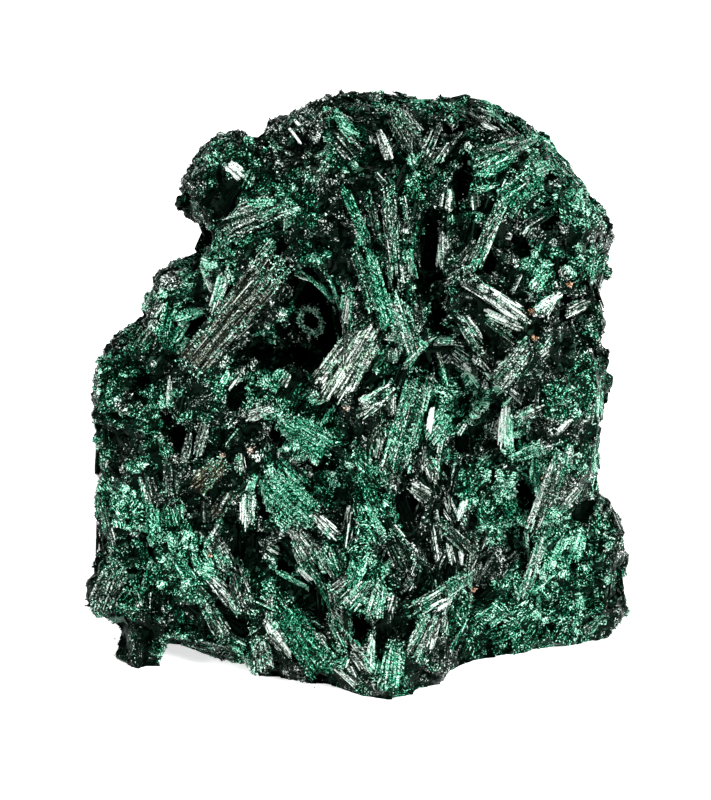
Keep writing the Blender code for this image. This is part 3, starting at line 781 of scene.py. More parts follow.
# The sheet is fitted this often, each time without the deepest of the depths found.
SHEET_ROUNDS = 4
SHEET_KEPT = 0.7
# The steepest that a drawn sheaf runs away from the eye, as a share of its length.
STEEPEST_DRAWN = 1.5


def depth_at(uv):
    """Distance from the eye to the crust through each (u, v), or nan where the line misses."""
    found = []
    for line in unit(plane_point(uv) - EYE):
        hit = tree.ray_cast(EYE, line)
        found.append(np.nan if hit[0] is None else hit[3])
    return np.array(found)


def placed(uv, depth):
    """The points that lie a given distance from the eye through each (u, v)."""
    return EYE + unit(plane_point(uv) - EYE) * depth[..., None]


def sheet_under(root, along, across, width):
    """A smooth depth for any share along and across a sheaf.

    Where the stone falls away, the sheet is eased round its middle, as a stiff crystal would be.
    """
    grid = np.meshgrid(np.linspace(0, 1, SHEET_GRID[0]), np.linspace(-0.5, 0.5, SHEET_GRID[1]))
    s, t = (side.ravel() for side in grid)
    depth = depth_at(root + s[:, None] * along + t[:, None] * width * across)
    known = ~np.isnan(depth)
    s, t, depth = s[known], t[known], depth[known]
    terms = np.stack([np.ones_like(s), s, t, s * s], axis=1)
    keep = np.ones(len(s), bool)
    for _ in range(SHEET_ROUNDS):
        fit = np.linalg.lstsq(terms[keep], depth[keep], rcond=None)[0]
        off = depth - terms @ fit
        keep = off < np.quantile(off, SHEET_KEPT)
    run_off = abs(fit[1] + fit[3]) / (np.linalg.norm(along) * MM)
    if run_off > STEEPEST_DRAWN:
        flatter = fit * (1, STEEPEST_DRAWN / run_off, 1, STEEPEST_DRAWN / run_off)
        fit = flatter + ((fit - flatter) @ (1, 0.5, 0, 0.25), 0, 0, 0)
    return lambda s, t: fit[0] + fit[1] * s + fit[2] * t + fit[3] * s * s


# %% Front sheaves
# Each sheaf: root, tip, width at root and tip, tone, green, thickness, and rust. A high tone is
# partly the sheaf's own paleness and partly a painted highlight, as on lobe_glint, bright_fan and
# right_white.
FRONT_SHEAVES = {
    "left_plank": ((-7.7, 44.3), (-17.2, 33.0), 3.8, 3.0, 0.45, 0.15, 1.3, 0.30),
    "left_spray": ((-12.9, 43.9), (-14.8, 38.1), 1.4, 1.0, 0.57, 0.35, 0.6, 0.0),
    "lobe_sheaf": ((-6.8, 49.7), (-14.3, 46.5), 1.8, 2.8, 0.43, 0.20, 0.7, 0.15),
    "lobe_strip": ((-8.3, 50.6), (-12.5, 48.9), 0.7, 0.9, 0.47, 0.00, 0.4, 0.0),
    "lobe_glint": ((-13.3, 53.8), (-11.3, 52.2), 1.2, 1.4, 0.68, 0.10, 0.4, 0.1),
    "twin_blade_upper": ((-6.4, 58.1), (-5.2, 56.6), 0.3, 0.3, 0.88, 0.0, 1.5, 0.0),
    "twin_blade_lower": ((-6.9, 57.2), (-5.7, 55.6), 0.3, 0.3, 0.88, 0.0, 1.5, 0.0),
    "crown_wedge": ((2.0, 57.2), (3.2, 53.8), 0.6, 1.3, 0.58, 0.10, 0.6, 0.0),
    "crown_fan": ((3.0, 59.5), (6.2, 54.4), 1.6, 3.0, 0.42, 0.10, 0.7, 0.0),
    "crown_block": ((-2.6, 57.0), (0.2, 54.0), 2.0, 2.4, 0.43, 0.15, 0.7, 0.0),
    "green_ridge_high": ((-1.8, 52.2), (1.2, 45.0), 0.8, 1.1, 0.46, 0.65, 0.9, 0.0),
    "green_ridge_low": ((0.9, 45.6), (3.2, 36.5), 1.1, 1.8, 0.465, 0.70, 1.0, 0.0),
    "middle_ridge": ((3.0, 51.4), (3.9, 40.4), 1.5, 1.5, 0.43, 0.30, 1.0, 0.1),
    "right_ridge": ((4.6, 50.4), (6.1, 43.2), 1.0, 0.9, 0.42, 0.15, 0.9, 0.0),
    "ridge_foot": ((3.3, 41.0), (5.5, 34.4), 2.0, 2.8, 0.49, 0.40, 1.0, 0.1),
    "ridge_between": ((0.8, 51.0), (2.4, 44.8), 1.0, 1.0, 0.42, 0.25, 0.7, 0.0),
    "cave_edge": ((-0.3, 45.2), (1.7, 38.0), 1.0, 1.1, 0.42, 0.40, 0.8, 0.1),
    "cave_lip": ((-0.8, 41.5), (-1.1, 36.7), 0.9, 1.0, 0.43, 0.70, 0.6, 0.0),
    "lobe_block": ((-11.1, 49.6), (-12.4, 48.0), 1.3, 1.4, 0.49, 0.35, 0.5, 0.0),
    "bright_fan": ((1.6, 37.8), (-3.6, 29.8), 3.2, 4.8, 0.525, 0.25, 1.1, 0.28),
    "bright_fan_low": ((3.8, 31.6), (-0.3, 28.4), 1.4, 2.2, 0.53, 0.30, 0.6, 0.15),
    "white_blade": ((7.5, 29.3), (7.0, 26.6), 0.5, 0.9, 0.78, 0.00, 0.4, 0.0),
    "centre_sheaf": ((6.5, 33.1), (3.5, 22.5), 2.6, 3.2, 0.45, 0.45, 0.9, 0.0),
    "y_sheaf": ((15.7, 53.1), (11.5, 42.8), 1.0, 1.5, 0.52, 0.30, 0.9, 0.0),
    "y_tail": ((12.2, 43.8), (8.0, 41.4), 1.0, 0.9, 0.46, 0.20, 0.6, 0.0),
    "right_block": ((11.6, 50.7), (11.8, 48.9), 0.9, 1.1, 0.55, 0.05, 0.6, 0.0),
    "upper_right_fan": ((17.7, 56.0), (11.0, 53.5), 1.6, 2.6, 0.45, 0.40, 0.8, 0.0),
    "upper_right_green": ((15.7, 54.5), (11.7, 52.2), 1.4, 1.8, 0.46, 0.80, 0.7, 0.0),
    "right_green_fan": ((18.7, 53.0), (14.2, 49.2), 2.0, 3.2, 0.45, 0.60, 0.8, 0.0),
    "crown_edge_strip": ((19.0, 54.8), (23.0, 50.8), 0.6, 0.9, 0.54, 0.30, 0.5, 0.0),
    "right_plank": ((11.3, 41.8), (17.2, 37.8), 1.3, 1.9, 0.58, 0.20, 0.8, 0.1),
    "right_plank_low": ((12.6, 38.9), (17.0, 36.8), 0.9, 1.0, 0.56, 0.20, 0.6, 0.0),
    "right_white": ((20.5, 40.8), (17.5, 38.8), 0.8, 1.1, 0.64, 0.30, 0.6, 0.0),
    "right_low_grey": ((17.2, 36.0), (13.7, 31.2), 1.2, 2.6, 0.52, 0.20, 0.8, 0.0),
    "right_bottom_fan": ((18.7, 29.5), (15.7, 28.0), 1.0, 1.6, 0.54, 0.30, 0.6, 0.0),
    "wall_sheaf": ((20.3, 25.0), (17.2, 16.5), 1.3, 1.7, 0.51, 0.25, 0.8, 0.0),
    "wall_sheaf_low": ((18.7, 16.9), (16.2, 9.4), 1.2, 1.4, 0.51, 0.35, 0.7, 0.0),
    "green_flat": ((18.6, 25.5), (15.4, 24.2), 1.2, 1.6, 0.48, 1.0, 0.6, 0.0),
    "cross_sheaf": ((12.1, 13.1), (4.9, 8.5), 1.4, 1.8, 0.49, 0.40, 0.8, 0.0),
    "bottom_white": ((9.5, 10.2), (7.2, 8.8), 0.8, 1.2, 0.70, 0.10, 0.5, 0.0),
    "keel_right": ((7.7, 8.8), (5.2, 3.8), 1.8, 2.6, 0.47, 0.30, 0.8, 0.0),
    "keel_left": ((-2.6, 8.3), (-0.8, 4.9), 1.4, 1.8, 0.46, 0.35, 0.8, 0.0),
    "keel_edge": ((3.8, 6.0), (3.2, 0.9), 1.8, 2.6, 0.505, 0.60, 0.8, 0.0),
    "centre_low_wedge": ((3.0, 17.0), (5.4, 12.5), 1.6, 2.8, 0.41, 0.05, 0.9, 0.0),
    "low_left_plank": ((0.0, 13.0), (-3.0, 10.8), 1.2, 1.6, 0.47, 0.05, 0.6, 0.0),
    "low_fan": ((1.2, 12.0), (-1.6, 9.0), 1.2, 2.4, 0.52, 0.35, 0.7, 0.0),
    "low_fan_right": ((2.4, 12.0), (1.6, 8.0), 1.0, 2.2, 0.50, 0.50, 0.7, 0.0),
    "rail": ((7.9, 17.9), (11.8, 14.4), 1.2, 1.4, 0.46, 0.20, 0.6, 0.0),
    "rail_blade_left": ((9.0, 15.8), (9.6, 13.2), 0.5, 0.7, 0.63, 0.10, 0.4, 0.0),
    "rail_blade_right": ((10.2, 15.2), (10.6, 13.0), 0.5, 0.6, 0.61, 0.10, 0.4, 0.0),
    "teal_blade": ((10.9, 20.3), (9.7, 17.7), 0.6, 0.8, 0.66, 0.40, 0.5, 0.0),
    "block_crystal": ((-10.9, 21.0), (-11.2, 16.8), 1.6, 1.4, 0.62, 0.25, 0.8, 0.0),
    "dark_wedge": ((-19.0, 24.5), (-18.6, 19.7), 0.8, 2.2, 0.43, 0.12, 0.7, 0.0),
    "brown_sheaf": ((-13.3, 24.0), (-16.8, 20.8), 1.8, 2.6, 0.44, 0.35, 0.8, 0.42),
    "brown_sheaf_low": ((-12.8, 20.8), (-14.6, 18.0), 1.2, 1.6, 0.43, 0.20, 0.7, 0.3),
    "grey_fan": ((-12.6, 14.0), (-11.0, 8.5), 1.2, 2.4, 0.45, 0.15, 0.7, 0.0),
    "low_streaks": ((-15.5, 10.2), (-13.0, 5.7), 1.4, 2.2, 0.45, 0.30, 0.7, 0.0),
    "left_lobe_sheaf": ((-23.8, 13.8), (-26.0, 8.5), 2.4, 3.2, 0.46, 0.25, 0.8, 0.0),
    "base_plank": ((-18.0, 6.0), (-11.3, 4.5), 0.8, 1.2, 0.43, 0.20, 0.5, 0.0),
    "base_foot": ((-10.0, 6.4), (-9.3, 2.5), 1.8, 2.4, 0.44, 0.20, 0.7, 0.0),
    "bottom_left_sheaf": ((-8.3, 10.0), (-2.8, 2.2), 2.8, 3.6, 0.40, 0.65, 0.8, 0.0),
    "green_shelf": ((-7.8, 28.2), (-2.3, 24.5), 2.4, 3.2, 0.485, 0.75, 0.8, 0.1),
    "mid_green_sheaf": ((-9.0, 22.0), (-4.8, 18.2), 2.8, 3.6, 0.47, 0.80, 0.8, 0.0),
}
# Some sheaves are made of thicker fibres than the rest, this many times as thick.
COARSE = {
    "bright_fan": 1.2,
    "bright_fan_low": 1.2,
    "right_plank": 1.4,
    "right_plank_low": 1.3,
    "low_fan": 1.3,
}
# How far a tip and the whole of a drawn sheaf stand off the sheet, in millimetres.
TIP_RISE = 0.25
DRAWN_LIFT = 0.15
SWAY = 0.015
UNEVEN_GREEN = 0.1
# Grains lie on the sheaves in patches: tries in a square millimetre, the spacing of the noise that
# gathers them, how high it has to be, and how much higher on a bright sheaf.
PATCH_DENSITY = 20
PATCH_NOISE = 1.3
PATCH_FROM = 0.3
BRIGHT_SHEAF = 0.52
BRIGHT_FROM = 0.3
# There are more of them along the edges and at the root.
PATCH_AT_EDGES = 0.5
PATCH_AT_ROOT = 0.5
PATCH_SPREAD = 0.03
PATCH_TONE = 0.46
PATCH_GREEN = 0.75
CLUSTER_HEIGHT = (0.12, 0.3)
CLUSTER_RADIUS = (0.06, 0.12)
CLUSTER_TONE = 0.13


def cluster(gathered, middles, spread, tone, green, rust, random):
    """Grains round each of the given points, leaning every way."""
    count = len(middles)
    out = unit(random.normal(0, 1, (count, 3)))
    foot = middles + random.normal(0, 1, (count, 3)) * spread * MM
    tip = foot + out * random.uniform(*CLUSTER_HEIGHT, count)[:, None] * MM
    corners = pyramids(foot, tip, random.uniform(*CLUSTER_RADIUS, count) * MM, random)
    gathered.add(corners, tone + random.normal(0, CLUSTER_TONE, count), green, rust, 1.0)


def draw_sheaf(gathered, sheaf, random, coarse):
    """Fill one drawn sheaf with fibres, and lay patches of grains on it."""
    root, tip, root_width, tip_width, tone, green, thickness, rust = sheaf
    along = np.array(tip) - root
    length = np.linalg.norm(along)
    across = np.array((along[1], -along[0])) / length
    width = max(root_width, tip_width)
    sheet = sheet_under(root, along, across, width)
    layers = max(2, round(thickness / LAYER_STEP / 2))

    def on_sheaf(step, share, level, sway=0.0):
        """The points at a share along and across the sheaf, at a level in millimetres."""
        swell = root_width + (tip_width - root_width) * step
        uv = np.array(root) + step[:, None] * along + ((share + sway) * swell)[:, None] * across
        height = level + thickness * 0.5 * (1 - (2 * share) ** 2) + DRAWN_LIFT + TIP_RISE * step
        return placed(uv, sheet(step, share) - height * MM)

    share, level, start, end, shift = lines_of_sheaf(width, length, layers, random, coarse)
    count = len(share)
    feet = on_sheaf(start, share, level, random.uniform(-SWAY, SWAY, count))
    tips = on_sheaf(end, share, level, random.uniform(-SWAY, SWAY, count))
    corners = prisms(feet, tips, -AWAY, coarse, random)
    greens = green + random.normal(0, UNEVEN_GREEN, count)
    gathered.add(corners, tone + shift * coarse, greens, rust, fibre_speckle(green))

    spots = int(length * width * PATCH_DENSITY)
    step, share = random.random(spots), random.uniform(-0.5, 0.5, spots)
    middles = on_sheaf(step, share, LAYER_STEP * (layers - 1))
    patchy = smooth_noise(middles, PATCH_NOISE, 61)
    patchy += PATCH_AT_EDGES * np.abs(2 * share) ** 3 + PATCH_AT_ROOT * (1 - step) ** 4
    chosen = patchy > PATCH_FROM + BRIGHT_FROM * (tone > BRIGHT_SHEAF)
    cluster(gathered, middles[chosen], PATCH_SPREAD, min(tone, PATCH_TONE), PATCH_GREEN, 0.0, random)


drawn = Gathered("drawn_sheaves")
for number, (name, sheaf) in enumerate(FRONT_SHEAVES.items()):
    draw_sheaf(drawn, sheaf, np.random.default_rng((7, number)), COARSE.get(name, 1.0))
pieces = [body, drawn.piece()]

# %% [markdown]
# ## Sheaves all over
#
# Between and behind the drawn sheaves the stone is a felt of smaller ones. Each starts at a place
# on the crust, picked evenly by area, and runs the way its neighbourhood runs. Its root is buried
# and its tip stands a little off, so that it throws a shadow on the next one, like a splinter.

# %% Which way the grain runs
# Each place: u, v, the way the fibres run in degrees, and how much of the ground is fibrous.
GRAIN = (
    (-14, 48, 205, 0.5), (-17, 52, 200, 0.2), (-20, 38, 240, 0.4), (-9, 55, 250, 0.2),
    (-3, 47, 260, 0.4), (4, 57, 290, 0.8), (12, 57, 250, 0.6), (18, 53, 220, 0.7),
    (8, 48, 262, 0.9), (14, 46, 235, 0.5), (21, 46, 250, 0.3), (20, 38, 215, 0.3),
    (12, 38, 320, 0.7), (16, 32, 235, 0.5), (22, 28, 250, 0.5), (-13, 36, 230, 0.3),
    (-21, 29, 260, 0.1), (-25, 22, 260, 0.1), (-12, 28, 235, 0.2), (-4, 33, 235, 0.7),
    (4, 28, 250, 0.9), (10, 27, 240, 0.6), (-19, 21, 270, 0.5), (-13, 19, 250, 0.7),
    (-6, 22, 310, 0.6), (1, 22, 300, 0.8), (8, 19, 300, 0.7), (14, 20, 255, 0.5),
    (20, 18, 255, 0.5), (-20, 13, 300, 0.4), (-25, 15, 260, 0.2), (-13, 11, 305, 0.9),
    (-6, 11, 310, 0.9), (0, 10, 240, 0.8), (6, 11, 240, 0.8), (13, 11, 215, 0.7), (21, 9, 250, 0.5),
    (-22, 7, 260, 0.5), (-10, 5, 320, 0.8), (-3, 5, 305, 0.9), (3, 4, 262, 0.9), (9, 6, 235, 0.8),
)
BACK_FIBROUS = 0.55
# How far off a small sheaf may look for its place, in millimetres, and turn, in degrees.
GRAIN_STRAY = 1.2
GRAIN_SPREAD = 13
# From how much the surface has to face the eye for the named places to count there.
NAMED_FROM = 0.3
# Behind, the fibres follow noise of this spacing and strength, hang down a little and stray.
BACK_SWAY = (9.0, 1.6)
BACK_DROOP = (0, 0, -0.35)
BACK_STRAY = 0.2


def grain_heading(point, outward, random):
    """The way a small sheaf runs at a place, and how fibrous the ground there is."""
    if facing(point[None], outward[None])[0] > NAMED_FROM:
        u, v = seen_uv(point[None])[0] + random.normal(0, GRAIN_STRAY, 2)
        near = min(GRAIN, key=lambda place: (place[0] - u) ** 2 + (place[1] - v) ** 2)
        angle = math.radians(near[2] + random.normal(0, GRAIN_SPREAD))
        heading = RIGHT * math.cos(angle) + UP * math.sin(angle)
        fibrous = near[3]
    else:
        sway = [smooth_noise(point[None], BACK_SWAY[0], seed)[0] for seed in (21, 22, 23)]
        heading = np.array(sway) * BACK_SWAY[1] + BACK_DROOP + random.normal(0, BACK_STRAY, 3)
        fibrous = BACK_FIBROUS
    return unit(heading - outward * (heading @ outward)), fibrous


# %% Small sheaves
SHEAF_TRIES = 3650
SMALL_SHEAF_LAYERS = 2
SHEAF_LENGTH = (1.6, 6.0)
SHEAF_SHORTER = (0.6, 1)
SHEAF_WIDTH = (0.5, 2.2)
SHEAF_CROWN = 0.25
# Width at the middle of a small sheaf and how much it grows from root to tip, as shares.
SHEAF_SPLAY = (0.8, 0.4)
PROBE_HEIGHT = 3.0
STEEPEST = 0.8
DEEPEST_BRIDGE = 0.8
HIGHEST_ARCH = 0.3
# Behind, this share of the small sheaves is this many times as big.
BIGGER_SHARE = 0.35
BIGGER_BEHIND = 1.7
# The middle and the spread of their tone, and the most that it may be before shade and places.
SHEAF_TONE = (0.46, 0.06)
SHEAF_TONE_LIMIT = 0.53
SHEAF_GREEN = (0.5, 1.1)
SHEAF_RUST = 0.15
# How much of the painted shade in the hollows is taken off the crystals' tone.
SHADE_TAKEN = 0.8
# None starts lower than this above the ground, in millimetres, or where the edge dips by more.
SHEAF_FROM = 0.6
SHEAF_DIP = -0.3
# How far a face has to turn to the eye for its sheaf to count as one of the front.
FRONT_TURN = -0.2


def ground_along(point, outward, along, length):
    """Heights of the crust at three places along a line, or nothing where it is missed."""
    heights = []
    for step in (-0.5, 0, 0.5):
        above = point + along * step * length * MM + outward * PROBE_HEIGHT * MM
        hit = tree.ray_cast(above, -outward, 2 * PROBE_HEIGHT * MM)
        if hit[0] is None:
            return None
        heights.append(PROBE_HEIGHT - hit[3] / MM)
    return heights


def lay_small_sheaf(gathered, index, random):
    """A small sheaf on one face of the crust, unless the ground there is bare or too uneven."""
    point, outward = face_centre[index], face_outward[index]
    along, fibrous = grain_heading(point, outward, random)
    bigger = BIGGER_BEHIND if outward @ AWAY > 0 and random.random() < BIGGER_SHARE else 1
    length = random.uniform(*SHEAF_LENGTH) * random.uniform(*SHEAF_SHORTER) * bigger
    width = random.uniform(*SHEAF_WIDTH) * bigger
    ground = ground_along(point, outward, along, length)
    if random.random() > fibrous or ground is None:
        return
    slope = (ground[2] - ground[0]) / length
    bridge = (ground[0] + ground[2]) / 2 - ground[1]
    if abs(slope) > STEEPEST or not -HIGHEST_ARCH < bridge < DEEPEST_BRIDGE:
        return
    share, level, start, end, shift = lines_of_sheaf(width, length, SMALL_SHEAF_LAYERS, random)
    across = np.cross(along, outward)
    level = level + sum(ground) / 3 + SHEAF_CROWN * (1 - (2 * share) ** 2)
    ends = []
    for step in (start - 0.5, end - 0.5):
        lift = level + slope * step * length + TIP_RISE * (step + 0.5)
        aside = share * width * (SHEAF_SPLAY[0] + SHEAF_SPLAY[1] * step)
        offset = step[:, None] * length * along + aside[:, None] * across + lift[:, None] * outward
        ends.append(point + offset * MM)
    corners = prisms(*ends, outward, 1.0, random)
    # Painted shade: darker in the hollows.
    tone = min(random.normal(*SHEAF_TONE), SHEAF_TONE_LIMIT) - SHADE_TAKEN * face_shade[index]
    tone = tone + tone_and_light_lift(point[None], outward[None])
    green = greenness(ends[1], outward) * random.uniform(*SHEAF_GREEN)
    gathered.add(corners, tone + shift, green, SHEAF_RUST * random.random(), fibre_speckle(green))


felt = {side: Gathered(side + "_felt") for side in ("front", "left", "right")}
picker = np.random.default_rng(5)
likely = face_area * (face_centre[:, 2] > SHEAF_FROM * MM) * (1 - face_shade)
likely *= nudge[face_corner] > SHEAF_DIP
picked = picker.choice(len(face_area), SHEAF_TRIES, p=likely / likely.sum())
for number, index in enumerate(picked):
    in_front = face_outward[index] @ AWAY < FRONT_TURN
    side = "front" if in_front else ("left" if face_centre[index][0] < 0 else "right")
    lay_small_sheaf(felt[side], index, np.random.default_rng((9, number)))
pieces += [gathered.piece() for gathered in felt.values()]

# %% [markdown]
# ## Sugary crust
#
# Between the sheaves the surface is not fibrous but granular: nodules half a millimetre to a
# millimetre across, like a cauliflower, with gaps between them, black with the body's dark tone and
# painted shade, and tiny grains all over them. A nodule is a ball of twenty faces with its corners
# moved, because the grains hide its facets. The grains differ in tone from one to the next, a few
# carry painted glints, and those that point out from a nodule are painted paler than those on its
# flanks, as if lit from outside.

# %% Nodules
NODULE_COUNT = 7000
NODULE_RADIUS = (0.25, 0.6)
NODULE_SUNK = 0.35
# The middle and the spread of a nodule's tone, and how much darker it is than the grains on it.
NODULE_TONE = (0.38, 0.075)
NODULE_DARKER = 0.05
NODULE_GREEN = 0.12
# Green crust is paler by this much, counted from the green that is usual there.
GREEN_PALER = 0.15
NODULE_GREEN_USUAL = 0.45
GRAIN_GREEN_USUAL = 0.3
# Nodules keep off the drawn sheaves: these shares of their length, and half their width.
COVERED_LENGTH = (0.08, 0.92)
COVERED_HALF = 0.42
COVERED_FROM = 0.2
NODULE_FROM = 0.5
NODULE_DIP = -0.2
# How likely they are on ground without any fibres, and how much less in full shade.
NODULE_CHANCE = 1.15
NODULE_SHY = 0.7


def under_sheaves(uv):
    """Whether each (u, v) lies well within one of the drawn sheaves."""
    covered = np.zeros(len(uv), bool)
    for root, tip, root_width, tip_width, *_ in FRONT_SHEAVES.values():
        along = np.array(tip) - root
        length = np.linalg.norm(along)
        along /= length
        s = (uv - root) @ along / length
        t = (uv - root) @ (along[1], -along[0]) / (root_width + (tip_width - root_width) * s)
        covered |= (s > COVERED_LENGTH[0]) & (s < COVERED_LENGTH[1]) & (np.abs(t) < COVERED_HALF)
    return covered


def fibrous_at(points, outward):
    """How fibrous the ground is, from 0 to 1."""
    uv = seen_uv(points)
    places = np.array(GRAIN)
    off = ((uv[:, None] - places[None, :, :2]) ** 2).sum(2)
    named = places[off.argmin(axis=1), 3]
    return np.where(facing(points, outward) > NAMED_FROM, named, BACK_FIBROUS)


def looks_forward(outward):
    """Whether the surface looks to the side of the eye."""
    return outward @ AWAY < 0


nodule_random = np.random.default_rng(14)
faces_eye = facing(face_centre, face_outward) > COVERED_FROM
open_ground = ~(under_sheaves(seen_uv(face_centre)) & faces_eye)
open_ground &= nudge[face_corner] > NODULE_DIP
open_ground &= face_centre[:, 2] > NODULE_FROM * MM
weight = face_area * (NODULE_CHANCE - fibrous_at(face_centre, face_outward))
weight = weight * (1 - NODULE_SHY * face_shade) * open_ground
where = nodule_random.choice(len(face_area), NODULE_COUNT, p=weight / weight.sum())
nodule_radius = nodule_random.uniform(*NODULE_RADIUS, NODULE_COUNT) * MM
nodule_out = face_outward[where]
nodule_middle = face_centre[where] - nodule_out * NODULE_SUNK * nodule_radius[:, None]
nodule_green, nodule_shade = face_green[where], face_shade[where]
nodule_tone = nodule_random.normal(*NODULE_TONE, NODULE_COUNT) + tone_and_light_lift(nodule_middle, nodule_out)
# Painted shade: darker in the hollows.
nodule_tone -= SHADE_TAKEN * nodule_shade
nodule_tone += GREEN_PALER * (nodule_green - NODULE_GREEN_USUAL)
nodule_green = nodule_green + nodule_random.normal(0, NODULE_GREEN, NODULE_COUNT)
corners = nodules(nodule_middle, nodule_radius, nodule_random)
nodule_front = looks_forward(nodule_out)
knobs = {side: Gathered(side + "_nodules") for side in ("front", "back")}
for side, chosen in (("front", nodule_front), ("back", ~nodule_front)):
    knobs[side].add(corners[chosen], nodule_tone[chosen] - NODULE_DARKER, nodule_green[chosen])
pieces += [gathered.piece() for gathered in knobs.values()]

# %% Grains and needles
SUGAR_COUNT = 30000
SUGAR_LEAN = 0.9
# Painted light: how much paler a grain is made the more it points out from its nodule.
NODULE_TOP_PAINTED_LIGHT = 0.08
GRAIN_COUNT = 18000
NEEDLE_COUNT = 11000
# Their radius and height, each from least to most in millimetres, and how upright they stand.
GRAIN_SHAPE = ((0.06, 0.13), (0.05, 0.18), 1.6)
NEEDLE_SHAPE = ((0.035, 0.06), (0.25, 0.5), 0.45)
GRAIN_UNEVEN = 0.07
# How much paler the few grains with painted glints are made.
GRAIN_GLINT = (0.1, 0.3)
GRAIN_FROM = 0.4
GRAIN_STRAYS = 0.12
# How likely grains are on clean crust. Where it is fully green, that is one more.
CLEAN_CHANCE = 0.7
# The middle of their tone, how noise moves it, and over what distance in millimetres.
GRAIN_TONE = 0.33
GRAIN_SWING = (0.14, 0.9)


def stand(gathered, place, outward, shape, tone, green, random):
    """Grains or needles at the given places, gathered by the side of the stone they are on."""
    radius, height, upright = shape
    count = len(place)
    out = unit(outward * upright + unit(random.normal(0, 1, (count, 3))))
    wide = random.uniform(*radius, count) * MM
    foot = place - outward * wide[:, None]
    tip = foot + out * (random.uniform(*height, count) * MM + wide)[:, None]
    tone = tone + random.normal(0, GRAIN_UNEVEN, count) + glints(count, GRAIN_GLINT, random)
    green = green + random.normal(0, GRAIN_UNEVEN, count)
    corners = pyramids(foot, tip, wide, random)
    front = looks_forward(outward)
    for side, chosen in (("front", front), ("back", ~front)):
        gathered[side].add(corners[chosen], tone[chosen], green[chosen])


def scatter(gathered, count, shape, random):
    """Grains or needles on random faces of the crust, more of them where it is green."""
    weight = face_area * (CLEAN_CHANCE + face_green) * (face_centre[:, 2] > GRAIN_FROM * MM)
    where = random.choice(len(face_area), count, p=weight / weight.sum())
    out, green = face_outward[where], face_green[where]
    place = face_centre[where] + random.normal(0, GRAIN_STRAYS * MM, (count, 3))
    tone = GRAIN_TONE + GRAIN_SWING[0] * smooth_noise(place, GRAIN_SWING[1], 41) + tone_and_light_lift(place, out)
    # Painted shade: darker in the hollows.
    tone += GREEN_PALER * (green - GRAIN_GREEN_USUAL) - SHADE_TAKEN * face_shade[where]
    stand(gathered, place, out, shape, tone, green, random)


grains = {side: Gathered(side + "_grains") for side in ("front", "back")}
sugar_random = np.random.default_rng(17)
weight = nodule_radius ** 2
on = sugar_random.choice(NODULE_COUNT, SUGAR_COUNT, p=weight / weight.sum())
sugar_out = unit(nodule_out[on] + SUGAR_LEAN * unit(sugar_random.normal(0, 1, (SUGAR_COUNT, 3))))
sugar_place = nodule_middle[on] + sugar_out * nodule_radius[on][:, None]
# Painted light: grains that point out from their nodule are paler, those on its flanks darker.
sugar_tone = nodule_tone[on] + NODULE_TOP_PAINTED_LIGHT * (sugar_out * nodule_out[on]).sum(1)
stand(grains, sugar_place, sugar_out, GRAIN_SHAPE, sugar_tone, nodule_green[on], sugar_random)
scatter(grains, GRAIN_COUNT, GRAIN_SHAPE, np.random.default_rng(15))
scatter(grains, NEEDLE_COUNT, NEEDLE_SHAPE, np.random.default_rng(16))
pieces += [gathered.piece() for gathered in grains.values()]

# %% [markdown]
# ## The small things that catch the eye
#
# A few grains are not green at all: iron has stained them orange, and they sit like crumbs on the
# dark sheaves. Deep in the cave a ring of green grains hangs in the light. Both are clusters of the
# same grains, laid round a point or round a ring.

# %% Rusty crumbs and the ring
# Each crumb: u, v, size in millimetres, and how rusty it is.
CRUMBS = (
    (21.2, 41.6, 0.32, 1.0), (17.4, 38.9, 0.36, 1.0), (17.6, 36.2, 0.30, 1.0), (5.6, 35.4, 0.40, 1.0),
    (5.6, 36.0, 0.28, 0.9), (11.5, 11.0, 0.28, 1.0), (-13.6, 24.3, 0.35, 0.6), (-10.8, 25.0, 0.35, 0.6),
    (-14.8, 14.5, 0.25, 0.7), (18.7, 22.2, 0.25, 0.8), (4.1, 38.4, 0.25, 0.7), (-1.1, 29.2, 0.30, 0.6),
)
CRUMB_GRAINS = 26
CRUMB_LIFT = 0.45
CRUMB_SPREAD = 0.4
CRUMB_TONE = 0.6
CRUMB_GREEN = 0.1
# The ring: middle, half sizes, lean, how far it stands out of the cave, and number of grains.
RING_MIDDLE = (-4.7, 37.9)
RING_HALF = (0.95, 1.4)
RING_LEAN = math.radians(35)
RING_OUT = 3.6
RING_GRAINS = 460
RING_SPREAD = 0.17
RING_TONE = (0.61, 0.06)
STALK_SPREAD = 0.22
STALK_TONE = 0.26
STALK_GREEN = 0.5

crumbs = Gathered("rusty_crumbs")
crumb_random = np.random.default_rng(21)
for u, v, size, rust in CRUMBS:
    uv = np.tile((u, v), (CRUMB_GRAINS, 1))
    middles = placed(uv, depth_at(uv[:1]) - CRUMB_LIFT * MM)
    cluster(crumbs, middles, size * CRUMB_SPREAD, CRUMB_TONE, CRUMB_GREEN, rust, crumb_random)

ring = Gathered("cave_ring")
ring_random = np.random.default_rng(22)
turn = ring_random.uniform(0, 2 * math.pi, RING_GRAINS)
across, upward = RING_HALF[0] * np.cos(turn), RING_HALF[1] * np.sin(turn)
ring_uv = np.stack([
    RING_MIDDLE[0] + across * math.cos(RING_LEAN) - upward * math.sin(RING_LEAN),
    RING_MIDDLE[1] + across * math.sin(RING_LEAN) + upward * math.cos(RING_LEAN),
], axis=1)
ring_depth = depth_at(np.array(RING_MIDDLE)[None]) - RING_OUT * MM
ring_tone = RING_TONE[0] + RING_TONE[1] * np.sin(turn * 2 + 1)
cluster(ring, placed(ring_uv, ring_depth), RING_SPREAD, ring_tone, 1.0, 0.0, ring_random)
stalk = np.linspace(0, 1, RING_GRAINS)
stalk_uv = np.tile((RING_MIDDLE[0], RING_MIDDLE[1] + RING_HALF[1]), (RING_GRAINS, 1))
